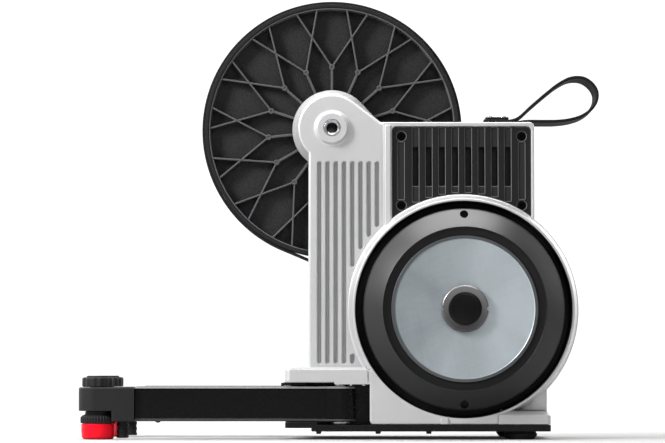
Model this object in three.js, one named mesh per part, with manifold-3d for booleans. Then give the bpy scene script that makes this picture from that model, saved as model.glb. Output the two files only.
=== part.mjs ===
// Direct drive bike trainer: a cast side arm and case, a belt driven wheel, a braked flywheel,
// two folding legs with levelling feet, and a carrying strap.
// Millimetres, +Z up, +X towards the rear of the bike, -Y is the side without sprockets.
// The model is drawn with the wheel axle above X = 0 and the floor at Z = 0.
import * as THREE from 'three';
import { mergeVertices } from 'three/addons/utils/BufferGeometryUtils.js';
import Module from 'manifold-3d';

const wasm = await Module();
wasm.setup();

// Driving dimensions

const fitGap = 0.3; // between pieces that touch or fit into each other
const cutOverrun = 2; // how far a cutting tool runs past a face
// facets round a circle, steps in an arc
const turns = { large: 48, medium: 24, small: 16, screw: 12, tiny: 8, corner: 2 };

const axle = {
  height: 340, // radius of a wheel with its tyre, so the bike stays level
  spacing: 142, // between the frame ends of the bike
  boreRadius: 6.1, // for a 12 mm through axle
  radius: 8.5,
  endLength: 9,
  nearEndRadius: 9,
  farEndRadius: 13,
};

const arm = {
  faceY: -65,
  thickness: 25,
  left: -25.9,
  right: 57.3,
  headRadius: 43.7,
  headFaceRadius: 34.5,
  headConeDepth: 20,
  bossRootRadius: 18.5,
  bossRadius: 16.1,
  bevel: 3.4,
};

const tower = {
  right: 221.6,
  rise: 6.6, // of its top over the axle
  leftCornerX: 53.6,
  cornerRadius: 5,
  frontWall: 10,
  sideWall: 5,
  backY: 10,
  flareTop: 95,
  flareFoot: 62,
  flareRight: 234.3,
  bandWidth: 7.1,
  bandRise: 1.5,
};

const flute = {
  count: 8,
  firstX: -13.7,
  pitch: 9.03,
  width: 5.5,
  depth: 5,
  top: 304,
  ringGap: 3.2,
  footGap: 3.2,
};

const drum = {
  x: 143,
  z: 141,
  lipY: -84,
  innerRadius: 118,
  lipRadius: 120.5,
  rootRadius: 125.3,
  floorDepth: 5,
  bearingBossRadius: 26,
  bearingBossDepth: 15,
};

const base = {
  halfWidth: 84,
  bottom: 16.4,
  left: 44,
  columnLeft: -46,
  columnLegGap: 3,
  wall: 6,
  platformLeft: -51.3,
  platformTop: 78.2,
  platformBottom: 59.6,
  platformFrontBottom: 61.7,
  platformStepX: 2.6,
  platformBevel: 2.4,
  right: 237.5,
  rearBlockLeft: 178,
  rearBlockTop: 25.9,
  rearBlockSlopeTop: 32,
  ribX: 122,
  ribWidth: 8.7,
  ribHeight: 14,
  ribRise: 2,
};

const plate = {
  bottom: 8.7,
  thickness: 7.4,
  left: -22.5,
  tongueLeft: -51,
  tongueBottom: 12.4,
  tongueTop: 19.1,
  tongueWidth: 34,
  nubWidth: 6.5,
  nubDrop: 2.6,
  nubXs: [-14.5, 50, 105],
};

const rearFoot = {
  x: 204.9,
  sideInset: 22,
  radius: 18.6,
  height: 8.4,
  edgeRadius: 5,
  stemRadius: 5,
  stemHeight: 4,
};

const belt = { thickness: 3, width: 20, nearY: -33 };

const wheel = {
  beltRadius: 143.6, // over the belt
  nearY: -36,
  width: 26,
  rimInnerRadius: 135,
  rimStepRadius: 137,
  rimStepDepth: 1,
  webNearY: -24,
  webThickness: 4,
  hubRadius: 22,
  hubNearY: -37,
  hubFarY: 20,
  ribCount: 15,
  ribDepth: 10,
  spokeWidth: 3.5,
  branchWidth: 2.3,
  nodeRadius: 70.6,
  branchSpread: THREE.MathUtils.degToRad(17),
  slotGap: 7.4,
};

const wheelBearing = { radius: 15, length: 10, seatInset: 3 };

const freehub = {
  nearY: 24,
  length: 38,
  radius: 17.4,
  grooveDepth: 1.9,
  grooveCount: 9,
  grooveShare: 0.45,
};

const flywheel = {
  radius: 109.4,
  backY: -64,
  shoulderY: -90,
  frontY: -112,
  faceRadius: 88.5,
  recessDepth: 4,
  rimInnerRadius: 92,
  webThickness: 12,
  webFrontInset: 8,
  hubRadius: 20,
  holeRadius: 4.5,
  holeCircle: 102.8,
  holeDepth: 12,
};

const disc = { radius: 79.2, rimWidth: 3.5, rimRise: 0.8, thickness: 5.2 };
const nut = { radius: 25.4, boreRadius: 14.5, height: 6, notchWidth: 4, notchDepth: 2.5, bevel: 1 };
const cap = { radius: 17.9, thickness: 2.6, dome: 1.2, plugRadius: 13.6, plugLength: 3 };
const shaft = { radius: 10, threadRadius: 9, farY: 41, runGap: 1.5 };
const pulley = { speedRatio: 10, flangeRise: 1.2, flangeWidth: 1.5 };
const flywheelBearing = { radius: 17, length: 12, farNearY: 27 };

const idler = {
  radius: 12,
  boltRadius: 4,
  bossRadius: 8,
  bossDepth: 17,
  beltShare: 0.53,
  headRadius: 6.5,
  headHeight: 3,
};

const brake = {
  coilCount: 6,
  coilCircle: 70,
  coilRadius: 13,
  coilNearY: -87.5,
  coilFlangeRadius: 15,
  coilFlange: 2,
  carrierRadius: 84,
  carrierBoreRadius: 30,
  carrierThickness: 4,
};

const cover = {
  depth: 35,
  wall: 3,
  axleCut: 95,
  postRadius: 6,
  bossRadius: 22,
  rib: 2.4,
  ribCount: 7,
  ribPitch: 17,
  ribRise: 1,
};

const grille = {
  left: 65.4,
  right: 218.2,
  topDrop: 4.6, // drops are below the top of the tower
  bottomDrop: 107.6,
  cornerRadius: 5,
  sink: 2,
  thickness: 2.6,
  ledge: 5,
  ringGap: 0.9,
  ventCount: 8,
  ventFirstX: 92.8,
  ventPitch: 14.43,
  ventWidth: 7,
  ventBottomDrop: 70.1,
  ventTopDrop: 27.1,
  grooveTopDrop: 7.1,
  grooveBottomDrop: 102.6,
  grooveDepth: 1.1,
  sideGrooveWidth: 8.6,
  sideGrooveInset: 6,
  sideGrooveBottomDrop: 84.6,
  sideGrooveTopDrop: 23.6,
};

const grilleScrew = {
  headRadius: 4.4,
  headHeight: 1.6,
  shankRadius: 1.6,
  shankLength: 6,
  socketRadius: 2,
  socketDepth: 1,
  sideInset: 10.5,
  topInset: 10.8,
  bottomRise: 16.4,
};

const coverScrew = {
  headRadius: 4.5,
  headHeight: 2.4,
  shankRadius: 2,
  shankLength: 16,
  socketRadius: 2.2,
  socketDepth: 1.4,
};

const board = {
  width: 110,
  height: 56,
  thickness: 1.6,
  left: 86,
  bottomDrop: 76.6,
  standoff: 6,
  postRadius: 2.5,
  postInset: 6,
};

const inlet = {
  z: 120,
  y: -20,
  radius: 7,
  flangeRadius: 9.5,
  flange: 1.8,
  length: 18,
  socketRadius: 3.2,
  socketDepth: 11,
  pinRadius: 1,
};

const strap = {
  thickness: 3.2,
  width: 25,
  midY: -10,
  tabLeft: 169,
  tabRight: 198,
  reachX: 297,
  loopHeight: 49.3,
  layerGap: 0.3,
  plateThickness: 2.4,
  plateInset: 1.5,
  screwHeadRadius: 4,
  screwHeadHeight: 1.8,
  screwShankRadius: 2,
  screwInset: 7,
  screwSocketRadius: 1.9,
  screwSocketDepth: 1,
  steps: 44,
};
// Places along the loop, as shares of its reach past the tab and of its height above the lower layer.
const strapRouteShares = [
  [0.08, 0.12], [0.23, 0.36], [0.43, 0.66], [0.59, 0.86], [0.73, 0.99], [0.87, 0.93],
  [0.97, 0.76], [1, 0.57], [0.97, 0.37], [0.89, 0.19], [0.77, 0.07], [0.64, 0.01],
  [0.5, 0], [0.33, 0.03], [0.14, 0.04],
];

const leg = {
  pivotX: 8.5,
  sideInset: 18,
  width: 30,
  bottom: 19.5,
  height: 38.2,
  wall: 2.5,
  edgeBevel: 1.2,
  rootRadius: 17,
  rootLength: 34,
  bandHeight: 3,
  panelDepth: 0.8,
  panelInset: 4.2,
  end: -214.2,
};

const pin = { radius: 6, nutRadius: 10.7, nutBottom: 9.6, nutHeight: 7.4, top: 74 };

const endCap = {
  left: -275.9,
  stepX: -239.1,
  width: 38,
  top: 56.5,
  bottom: 19.6,
  stepBottom: 30.8,
  spigotLength: 20,
  spigotWall: 4,
  bevel: 1.5,
  postX: -228.1,
  postRadius: 6.6,
  postBottom: 1.5,
  postRibRise: 0.6,
  postRibs: 3,
};

const foot = {
  x: -254.8,
  ringRadius: 19.35,
  ringTop: 27.5,
  ringBottom: 17,
  ringDome: 1.6,
  ringGap: 0.7,
  knurls: 18,
  knurlDepth: 0.9,
  padRadius: 18.3,
  padEdgeRadius: 6.5,
  stemRadius: 6,
  stemTop: 48,
};

const knob = {
  radius: 17.5,
  height: 10.6,
  grips: 14,
  gripDepth: 0.9,
  discRadius: 12.5,
  discHeight: 1.7,
  stemRadius: 8,
  stemLength: 5,
};

const latch = { left: -55.5, length: 26, width: 14, thickness: 2.9, lipDrop: 0.5, lipLength: 3 };

// Solids and placing

function toSolid(geometry) {
  const bare = geometry.clone();
  bare.deleteAttribute('normal');
  bare.deleteAttribute('uv');
  const merged = mergeVertices(bare);
  const places = merged.getAttribute('position');
  const index = merged.getIndex();
  const corner = [new THREE.Vector3(), new THREE.Vector3(), new THREE.Vector3()];
  const triangles = [];
  let volume = 0;
  for (let i = 0; i < index.count; i += 3) {
    const ids = [index.getX(i), index.getX(i + 1), index.getX(i + 2)];
    if (new Set(ids).size < ids.length) continue;
    ids.forEach((id, k) => corner[k].fromBufferAttribute(places, id));
    volume += corner[0].dot(corner[1].clone().cross(corner[2]));
    triangles.push(ids);
  }
  const outward = volume > 0 ? triangles : triangles.map(([a, b, c]) => [a, c, b]);
  return new wasm.Manifold(
    new wasm.Mesh({
      numProp: 3,
      vertProperties: new Float32Array(places.array),
      triVerts: new Uint32Array(outward.flat()),
    }),
  );
}

const joined = (...solids) => solids.flat().reduce((whole, next) => whole.add(next));
const cut = (solid, ...tools) => tools.flat().reduce((rest, tool) => rest.subtract(tool), solid);

function box(x0, x1, y0, y1, z0, z1) {
  const geometry = new THREE.BoxGeometry(x1 - x0, y1 - y0, z1 - z0);
  return toSolid(geometry.translate((x0 + x1) / 2, (y0 + y1) / 2, (z0 + z1) / 2));
}

// A flat outline of [x, z] points or a Shape, pushed from nearY to farY.
function slabY(outline, nearY, farY, curveSegments = turns.corner) {
  const shape = outline instanceof THREE.Shape ? outline : new THREE.Shape(outline.map(([
    x,
    z,
  ]) => new THREE.Vector2(x, z)));
  const geometry = new THREE.ExtrudeGeometry(
    shape,
    { depth: farY - nearY, bevelEnabled: false, curveSegments },
  );
  return toSolid(geometry.rotateX(Math.PI / 2).translate(0, farY, 0));
}

// A flat outline of [x, y] points or a Shape, pushed from bottom to top.
function slabZ(outline, bottom, top, curveSegments = turns.corner) {
  const shape = outline instanceof THREE.Shape ? outline : new THREE.Shape(outline.map(([
    x,
    y,
  ]) => new THREE.Vector2(x, y)));
  const geometry = new THREE.ExtrudeGeometry(
    shape,
    { depth: top - bottom, bevelEnabled: false, curveSegments },
  );
  return toSolid(geometry.translate(0, 0, bottom));
}

// [radius, y] points turned round the Y axis; the outline closes on itself or on the axis.
function turnedY(profile, facets = turns.medium, x = 0, z = 0) {
  const points = profile.map(([r, y]) => new THREE.Vector2(r, y));
  if (profile[0][0] > 0) points.push(points[0].clone());
  return toSolid(new THREE.LatheGeometry(points, facets).translate(x, 0, z));
}

function turnedZ(profile, facets = turns.medium, x = 0, y = 0) {
  const points = profile.map(([r, z]) => new THREE.Vector2(r, z));
  if (profile[0][0] > 0) points.push(points[0].clone());
  return toSolid(new THREE.LatheGeometry(points, facets).rotateX(Math.PI / 2).translate(x, y, 0));
}

const rodY = (radius, nearY, farY, facets, x = 0, z = 0) =>
  turnedY([[0, nearY], [radius, nearY], [radius, farY], [0, farY]], facets, x, z);
const rodZ = (radius, bottom, top, facets, x = 0, y = 0) =>
  turnedZ([[0, bottom], [radius, bottom], [radius, top], [0, top]], facets, x, y);
const ringY = (inner, outer, nearY, farY, facets, x = 0, z = 0) =>
  turnedY([[inner, nearY], [outer, nearY], [outer, farY], [inner, farY]], facets, x, z);
const coneY = (nearRadius, farRadius, nearY, farY, facets, x = 0, z = 0) =>
  turnedY([[0, nearY], [nearRadius, nearY], [farRadius, farY], [0, farY]], facets, x, z);

function rodX(radius, x0, x1, facets, y, z) {
  const points = [
    [0, x0],
    [radius, x0],
    [radius, x1],
    [0, x1],
  ].map(([r, x]) => new THREE.Vector2(r, -x));
  return toSolid(new THREE.LatheGeometry(points, facets).rotateZ(Math.PI / 2).translate(0, y, z));
}

// A bar in the XZ plane between two points.
function barY([x0, z0], [x1, z1], width, nearY, farY) {
  const length = Math.hypot(x1 - x0, z1 - z0);
  const geometry = new THREE.BoxGeometry(length, farY - nearY, width);
  geometry.rotateY(-Math.atan2(z1 - z0, x1 - x0));
  return toSolid(geometry.translate((x0 + x1) / 2, (nearY + farY) / 2, (z0 + z1) / 2));
}

// An upright slot with round ends.
function slotY(x, bottom, top, width, nearY, farY) {
  const r = width / 2;
  const shape = new THREE.Shape();
  shape.absarc(x, top - r, r, 0, Math.PI, false);
  shape.absarc(x, bottom + r, r, Math.PI, 2 * Math.PI, false);
  return slabY(shape, nearY, farY);
}

function roundedBoxShape(left, right, bottom, top, r) {
  const shape = new THREE.Shape();
  shape.absarc(right - r, top - r, r, 0, Math.PI / 2, false);
  shape.absarc(left + r, top - r, r, Math.PI / 2, Math.PI, false);
  shape.absarc(left + r, bottom + r, r, Math.PI, 1.5 * Math.PI, false);
  shape.absarc(right - r, bottom + r, r, 1.5 * Math.PI, 2 * Math.PI, false);
  return shape;
}

const onCircle = (radius, angle, x = 0, z = 0) => [
  x + radius * Math.cos(angle),
  z + radius * Math.sin(angle),
];

const finish = (color, roughness, metalness) => new THREE.MeshStandardMaterial({
  color,
  roughness,
  metalness,
});
const silverPaint = () => finish(0xcdcdcf, 0.5, 0.55);
const blackPlastic = () => finish(0x26272a, 0.6, 0);
const blackPaint = () => finish(0x1c1d20, 0.42, 0.2);
const steel = () => finish(0x9a9da2, 0.35, 0.9);
const darkSteel = () => finish(0x5f5a5a, 0.38, 0.85);
const rubber = () => finish(0x17181a, 0.85, 0);

function addPiece(parent, name, solid, material) {
  const { numProp, vertProperties, triVerts } = solid.getMesh();
  const geometry = new THREE.BufferGeometry();
  geometry.setAttribute(
    'position',
    new THREE.BufferAttribute(new Float32Array(vertProperties), numProp),
  );
  geometry.setIndex(new THREE.BufferAttribute(new Uint32Array(triVerts), 1));
  geometry.computeVertexNormals();
  const mesh = new THREE.Mesh(geometry, material);
  mesh.name = name;
  parent.add(mesh);
  return mesh;
}

const trainer = new THREE.Group();
const place = (x, y, z, parent = trainer) => {
  const group = new THREE.Group();
  group.position.set(x, y, z);
  parent.add(group);
  return group;
};

// Places that several pieces share

const drumAt = [drum.x, drum.z];
const towerTop = axle.height + tower.rise;
const armBackY = arm.faceY + arm.thickness;
const wallBackY = arm.faceY + tower.frontWall;
const drumFloorY = arm.faceY + drum.floorDepth;
const wheelFarY = wheel.nearY + wheel.width;
const rimRadius = wheel.beltRadius - belt.thickness - fitGap;
const pitchRadius = rimRadius + fitGap + belt.thickness / 2;
const pulleyPitchRadius = pitchRadius / pulley.speedRatio;
const pulleyRadius = pulleyPitchRadius - belt.thickness / 2 - fitGap;
const coverNearY = tower.backY + fitGap;
const coverFarY = coverNearY + cover.depth;
const coverBottom = base.platformTop + fitGap;
const plateTop = plate.bottom + plate.thickness;
const legY = base.halfWidth - leg.sideInset;
const columnHalfWidth = legY - leg.rootRadius - base.columnLegGap;
const rearFootY = base.halfWidth - rearFoot.sideInset;
const grilleLevel = {
  top: towerTop - grille.topDrop,
  bottom: towerTop - grille.bottomDrop,
  ventTop: towerTop - grille.ventTopDrop,
  ventBottom: towerTop - grille.ventBottomDrop,
  grooveTop: towerTop - grille.grooveTopDrop,
  grooveBottom: towerTop - grille.grooveBottomDrop,
  sideGrooveTop: towerTop - grille.sideGrooveTopDrop,
  sideGrooveBottom: towerTop - grille.sideGrooveBottomDrop,
};
const boardBottom = towerTop - board.bottomDrop;

// Where a line from a point outside a circle touches it, on the side given by turn.
function touchPoint([cx, cz], radius, [px, pz], turn) {
  const distance = Math.hypot(px - cx, pz - cz);
  const angle = Math.atan2(pz - cz, px - cx) + turn * Math.acos(radius / distance);
  return onCircle(radius, angle, cx, cz);
}

// The main casting: arm, tower, drum and base in one piece of cast aluminium

function armSolid() {
  const head = [0, axle.height];
  const shoulder = touchPoint(
    head,
    arm.headRadius - arm.bevel,
    [tower.leftCornerX - arm.bevel, towerTop - arm.bevel],
    1,
  );
  const neckZ = axle.height - Math.sqrt(arm.headRadius ** 2 - arm.left ** 2);
  const outline = [
    [arm.left + arm.bevel, base.platformTop - base.platformBevel],
    [arm.right, base.platformTop - base.platformBevel],
    [arm.right, towerTop - arm.bevel],
    [tower.leftCornerX - arm.bevel, towerTop - arm.bevel],
    shoulder,
    head,
    [arm.left + arm.bevel, neckZ],
  ];
  const shape = new THREE.Shape(outline.map(([x, z]) => new THREE.Vector2(x, z)));
  const slab = new THREE.ExtrudeGeometry(shape, {
    depth: arm.thickness - 2 * arm.bevel,
    bevelThickness: arm.bevel,
    bevelSize: arm.bevel,
    bevelSegments: 2,
  });
  slab.rotateX(Math.PI / 2).translate(0, armBackY - arm.bevel, 0);
  const coneY1 = arm.faceY + arm.headConeDepth;
  const headProfile = [
    [0, arm.faceY],
    [arm.headFaceRadius, arm.faceY],
    [arm.headFaceRadius + arm.bevel, arm.faceY + arm.bevel / 2],
    [arm.headRadius, coneY1],
    [arm.headRadius, armBackY],
    [0, armBackY],
  ];
  const bossNearY = -axle.spacing / 2;
  const boss = coneY(
    arm.bossRadius,
    arm.bossRootRadius,
    bossNearY,
    arm.faceY + arm.bevel,
    turns.medium,
    ...head,
  );
  return joined(toSolid(slab), turnedY(headProfile, turns.large, ...head), boss);
}

function fluteCuts() {
  const clear = drum.rootRadius + flute.ringGap;
  const foot = base.platformTop + flute.footGap;
  const nearY = arm.faceY - cutOverrun;
  const farY = arm.faceY + flute.depth;
  const cuts = [];
  for (let i = 0; i < flute.count; i += 1) {
    const x = flute.firstX + i * flute.pitch;
    const across = Math.abs(x - drum.x);
    const half = across < clear ? Math.sqrt(clear ** 2 - across ** 2) : 0;
    const bottom = half > 0 ? drum.z + half : foot;
    cuts.push(slotY(x, bottom, flute.top, flute.width, nearY, farY));
    const lowerTop = drum.z - half - flute.ringGap;
    if (half > 0 && lowerTop - foot > 1.5 * flute.width) {
      cuts.push(slotY(x, foot, lowerTop, flute.width, nearY, farY));
    }
  }
  return cuts;
}

function towerShape(inset, bottom) {
  const shape = new THREE.Shape();
  const r = tower.cornerRadius - Math.min(inset, tower.cornerRadius / 2);
  const right = tower.right - inset;
  const top = towerTop - inset;
  shape.moveTo(arm.left + inset, bottom);
  shape.lineTo(right, bottom);
  shape.absarc(right - r, top - r, r, 0, Math.PI / 2, false);
  shape.lineTo(tower.leftCornerX, top);
  shape.lineTo(tower.leftCornerX - tower.sideWall, axle.height - arm.headRadius + inset);
  shape.lineTo(arm.left + inset, axle.height - arm.headRadius - inset);
  return shape;
}

function towerSolid() {
  const shell = slabY(towerShape(0, base.platformTop - base.platformBevel), arm.faceY, tower.backY);
  const room = slabY(
    towerShape(tower.sideWall, base.platformTop - base.platformBevel + tower.sideWall),
    wallBackY,
    tower.backY + cutOverrun,
  );
  const flare = slabY(
    [
      [tower.right - tower.sideWall, tower.flareTop],
      [tower.right, tower.flareTop],
      [tower.flareRight, tower.flareFoot],
      [tower.flareRight, base.bottom],
      [tower.right - tower.sideWall, base.bottom],
    ],
    arm.faceY,
    tower.backY,
  );
  const band = box(
    arm.right,
    arm.right + tower.bandWidth,
    arm.faceY - tower.bandRise,
    wallBackY,
    grilleLevel.bottom,
    towerTop - tower.sideWall / 2,
  );
  return joined(cut(shell, room), flare, band);
}

function drumSolid() {
  const profile = [
    [0, arm.faceY],
    [drum.innerRadius - cutOverrun, arm.faceY],
    [drum.innerRadius - cutOverrun, drum.lipY],
    [drum.lipRadius, drum.lipY],
    [drum.rootRadius, arm.faceY],
    [drum.rootRadius, wallBackY],
    [0, wallBackY],
  ];
  const boss = rodY(
    drum.bearingBossRadius,
    wallBackY - cutOverrun,
    wallBackY + drum.bearingBossDepth,
    turns.medium,
    ...drumAt,
  );
  return joined(turnedY(profile, turns.large, ...drumAt), boss);
}

function baseSolid() {
  const side = [
    [base.left, base.bottom],
    [base.right, base.bottom],
    [base.right, base.rearBlockTop],
    [base.right - base.wall, base.rearBlockSlopeTop],
    [base.rearBlockLeft, base.rearBlockSlopeTop],
    [base.rearBlockLeft, base.platformTop - base.platformBevel],
    [base.left, base.platformTop - base.platformBevel],
  ];
  const sill = slabY(side, drum.lipY, base.halfWidth);
  const room = box(
    base.left + base.wall,
    base.rearBlockLeft - base.wall,
    wallBackY,
    base.halfWidth - base.wall,
    base.bottom - cutOverrun,
    base.platformTop - base.platformBevel - base.wall,
  );
  const rearRoom = box(
    base.rearBlockLeft,
    base.right - base.wall,
    drum.lipY + base.wall,
    base.halfWidth - base.wall,
    base.bottom - cutOverrun,
    base.rearBlockTop - base.wall / 2,
  );
  const heel = box(
    base.rearBlockLeft - base.wall,
    tower.right,
    arm.faceY,
    tower.backY,
    base.rearBlockTop,
    base.platformTop - base.platformBevel,
  );
  const heelRoom = box(
    base.rearBlockLeft,
    tower.right - base.wall,
    wallBackY,
    tower.backY - base.wall,
    base.bottom,
    base.platformTop - base.platformBevel - base.wall,
  );
  const column = box(
    base.columnLeft,
    base.left + base.wall,
    -columnHalfWidth,
    columnHalfWidth,
    base.bottom,
    base.platformTop - base.platformBevel,
  );
  const columnRoom = box(
    base.columnLeft + base.wall,
    base.left,
    base.wall - columnHalfWidth,
    columnHalfWidth - base.wall,
    base.bottom - cutOverrun,
    base.platformBottom,
  );
  const platform = slabY(
    [
      [base.platformLeft, base.platformFrontBottom],
      [base.platformStepX, base.platformFrontBottom],
      [base.platformStepX, base.platformBottom],
      [base.left + base.wall, base.platformBottom],
      [base.left + base.wall, base.platformTop - base.platformBevel],
      [base.platformLeft, base.platformTop - base.platformBevel],
    ],
    -base.halfWidth,
    base.halfWidth,
  );
  const inset = base.platformBevel;
  const topStep = slabZ(
    [
      [base.platformLeft + inset, inset - base.halfWidth],
      [base.rearBlockLeft - inset, inset - base.halfWidth],
      [base.rearBlockLeft - inset, base.halfWidth - inset],
      [base.platformLeft + inset, base.halfWidth - inset],
    ],
    base.platformTop - 2 * base.platformBevel,
    base.platformTop,
  );
  const rib = box(
    base.ribX - base.ribWidth / 2,
    base.ribX + base.ribWidth / 2,
    drum.lipY - base.ribRise,
    arm.faceY,
    base.bottom,
    base.bottom + base.ribHeight,
  );
  const body = joined(sill, heel, column, platform, topStep, rib);
  return cut(body, room, rearRoom, heelRoom, columnRoom);
}

function castingCuts() {
  const wheelRoom = rodY(
    wheel.beltRadius + wheel.slotGap,
    armBackY,
    tower.backY + cutOverrun,
    turns.large,
    0,
    axle.height,
  );
  const drumRoom = rodY(drum.innerRadius, drum.lipY - base.wall, drumFloorY, turns.large, ...drumAt);
  const bearingFarY = wallBackY + drum.bearingBossDepth;
  const shaftBore = rodY(
    shaft.radius + shaft.runGap,
    drumFloorY - cutOverrun,
    bearingFarY,
    turns.small,
    ...drumAt,
  );
  const bearingBore = rodY(
    flywheelBearing.radius + fitGap,
    bearingFarY - flywheelBearing.length,
    bearingFarY + cutOverrun,
    turns.medium,
    ...drumAt,
  );
  const axleBore = rodY(
    axle.radius + fitGap,
    -axle.spacing,
    armBackY + cutOverrun,
    turns.small,
    0,
    axle.height,
  );
  const endBore = rodY(
    axle.nearEndRadius + fitGap,
    -axle.spacing,
    axle.endLength - axle.spacing / 2,
    turns.small,
    0,
    axle.height,
  );
  const pinBores = [-1, 1].map((side) =>
    rodZ(
      pin.radius + fitGap,
      base.platformBottom - cutOverrun,
      pin.top + fitGap,
      turns.small,
      leg.pivotX,
      side * legY,
    ),
  );
  const inletBore = rodX(
    inlet.radius + fitGap,
    tower.right - tower.sideWall - cutOverrun,
    tower.right + cutOverrun,
    turns.small,
    inlet.y,
    inlet.z,
  );
  const strapBores = strapScrewXs().map((x) =>
    rodZ(
      strap.screwShankRadius + fitGap,
      towerTop - tower.sideWall - cutOverrun,
      towerTop + cutOverrun,
      turns.tiny,
      x,
      strap.midY,
    ),
  );
  const under = box(
    drum.x - drum.rootRadius,
    drum.x + drum.rootRadius,
    drum.lipY,
    armBackY,
    drum.z - 2 * drum.rootRadius,
    base.bottom,
  );
  return [
    under,
    wheelRoom,
    drumRoom,
    shaftBore,
    bearingBore,
    axleBore,
    endBore,
    inletBore,
    ...pinBores,
    ...strapBores,
  ];
}

// The grille's outline, drawn in by an inset.
function grilleSolid(inset, nearY, farY) {
  const shape = roundedBoxShape(
    grille.left + inset,
    grille.right - inset,
    grilleLevel.bottom - drum.rootRadius,
    grilleLevel.top - inset,
    grille.cornerRadius,
  );
  const sill = box(
    grille.left - cutOverrun,
    grille.right + cutOverrun,
    nearY - cutOverrun,
    farY + cutOverrun,
    grilleLevel.bottom - 2 * drum.rootRadius,
    grilleLevel.bottom + inset,
  );
  const ring = rodY(
    drum.rootRadius + grille.ringGap + inset,
    nearY - cutOverrun,
    farY + cutOverrun,
    turns.large,
    ...drumAt,
  );
  return cut(slabY(shape, nearY, farY), sill, ring);
}

const grilleNearY = arm.faceY + grille.sink;
const grilleFarY = grilleNearY + grille.thickness;

function idlerPlace() {
  const { start, end } = beltRuns().right;
  const along = (k) => start[k] + (end[k] - start[k]) * idler.beltShare;
  const length = Math.hypot(end[0] - start[0], end[1] - start[1]);
  const out = [-(end[1] - start[1]) / length, (end[0] - start[0]) / length];
  const reach = idler.radius + belt.thickness / 2 + fitGap;
  return [along(0) + out[0] * reach, along(1) + out[1] * reach];
}

function grilleCorners() {
  const xs = [grille.left + grilleScrew.sideInset, grille.right - grilleScrew.sideInset];
  const zs = [grilleLevel.top - grilleScrew.topInset, grilleLevel.bottom + grilleScrew.bottomRise];
  return zs.flatMap((z) => xs.map((x) => [x, z]));
}

function mainCasting() {
  const idlerAt = idlerPlace();
  const idlerBoss = rodY(
    idler.bossRadius,
    wallBackY - cutOverrun,
    wallBackY + idler.bossDepth,
    turns.small,
    ...idlerAt,
  );
  const idlerBore = rodY(
    idler.boltRadius + fitGap,
    wallBackY + fitGap,
    wallBackY + idler.bossDepth + cutOverrun,
    turns.tiny,
    ...idlerAt,
  );
  const pocket = grilleSolid(0, arm.faceY - cutOverrun, grilleFarY + fitGap);
  const window = grilleSolid(grille.ledge, arm.faceY - cutOverrun, wallBackY + cutOverrun);
  const corners = grilleCorners();
  const lugs = corners.map(([x, z]) =>
    rodY(grilleScrew.headRadius + grille.ledge, grilleFarY + fitGap, wallBackY, turns.screw, x, z),
  );
  const lugBores = corners.map(([x, z]) =>
    rodY(grilleScrew.shankRadius + fitGap, grilleFarY, wallBackY + cutOverrun, turns.tiny, x, z),
  );
  const body = cut(
    joined(towerSolid(), armSolid(), baseSolid(), drumSolid(), idlerBoss),
    pocket,
    window,
  );
  return cut(joined(body, lugs), fluteCuts(), castingCuts(), idlerBore, lugBores);
}

// The belt's two straight runs, between the points where it touches its wheels.
function beltRuns(offset = 0) {
  const spanX = drum.x;
  const spanZ = drum.z - axle.height;
  const span = Math.hypot(spanX, spanZ);
  const heading = Math.atan2(spanZ, spanX);
  const lean = Math.acos((pitchRadius - pulleyPitchRadius) / span);
  const run = (turn) => ({
    angle: heading + turn * lean,
    start: onCircle(pitchRadius + offset, heading + turn * lean, 0, axle.height),
    end: onCircle(pulleyPitchRadius + offset, heading + turn * lean, ...drumAt),
  });
  return { right: run(1), left: run(-1) };
}

function beltPath(path, offset) {
  const { right, left } = beltRuns(offset);
  path.absarc(0, axle.height, pitchRadius + offset, right.angle, left.angle + 2 * Math.PI, false);
  path.absarc(drum.x, drum.z, pulleyPitchRadius + offset, left.angle, right.angle, false);
  return path;
}

function driveBelt() {
  const half = belt.thickness / 2;
  const outline = beltPath(new THREE.Shape(), half);
  outline.holes.push(beltPath(new THREE.Path(), -half));
  return slabY(outline, belt.nearY, belt.nearY + belt.width, turns.large / 2);
}

// Pieces on the casting

function strapScrewXs() {
  return [strap.tabLeft + strap.screwInset, strap.tabRight - strap.screwInset];
}

function strapRibbon() {
  const lower = towerTop + fitGap + strap.thickness / 2;
  const upper = lower + strap.thickness + strap.layerGap;
  const reach = strap.reachX - strap.thickness / 2 - strap.tabRight;
  const route = new THREE.CatmullRomCurve3(
    [
      [strap.tabLeft, upper],
      [(strap.tabLeft + strap.tabRight) / 2, upper],
      [strap.tabRight, upper],
      ...strapRouteShares.map(([u, v]) => [strap.tabRight + u * reach, lower + v * strap.loopHeight]),
      [strap.tabRight, lower],
      [(strap.tabLeft + strap.tabRight) / 2, lower],
      [strap.tabLeft, lower],
    ].map(([x, z]) => new THREE.Vector3(x, 0, z)),
    false,
    'centripetal',
  );
  const near = [];
  const far = [];
  for (let i = 0; i <= strap.steps; i += 1) {
    const at = route.getPointAt(i / strap.steps);
    const way = route.getTangentAt(i / strap.steps);
    near.push([at.x - (way.z * strap.thickness) / 2, at.z + (way.x * strap.thickness) / 2]);
    far.push([at.x + (way.z * strap.thickness) / 2, at.z - (way.x * strap.thickness) / 2]);
  }
  return slabY([...near, ...far.reverse()], strap.midY - strap.width / 2, strap.midY + strap.width / 2);
}

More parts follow.
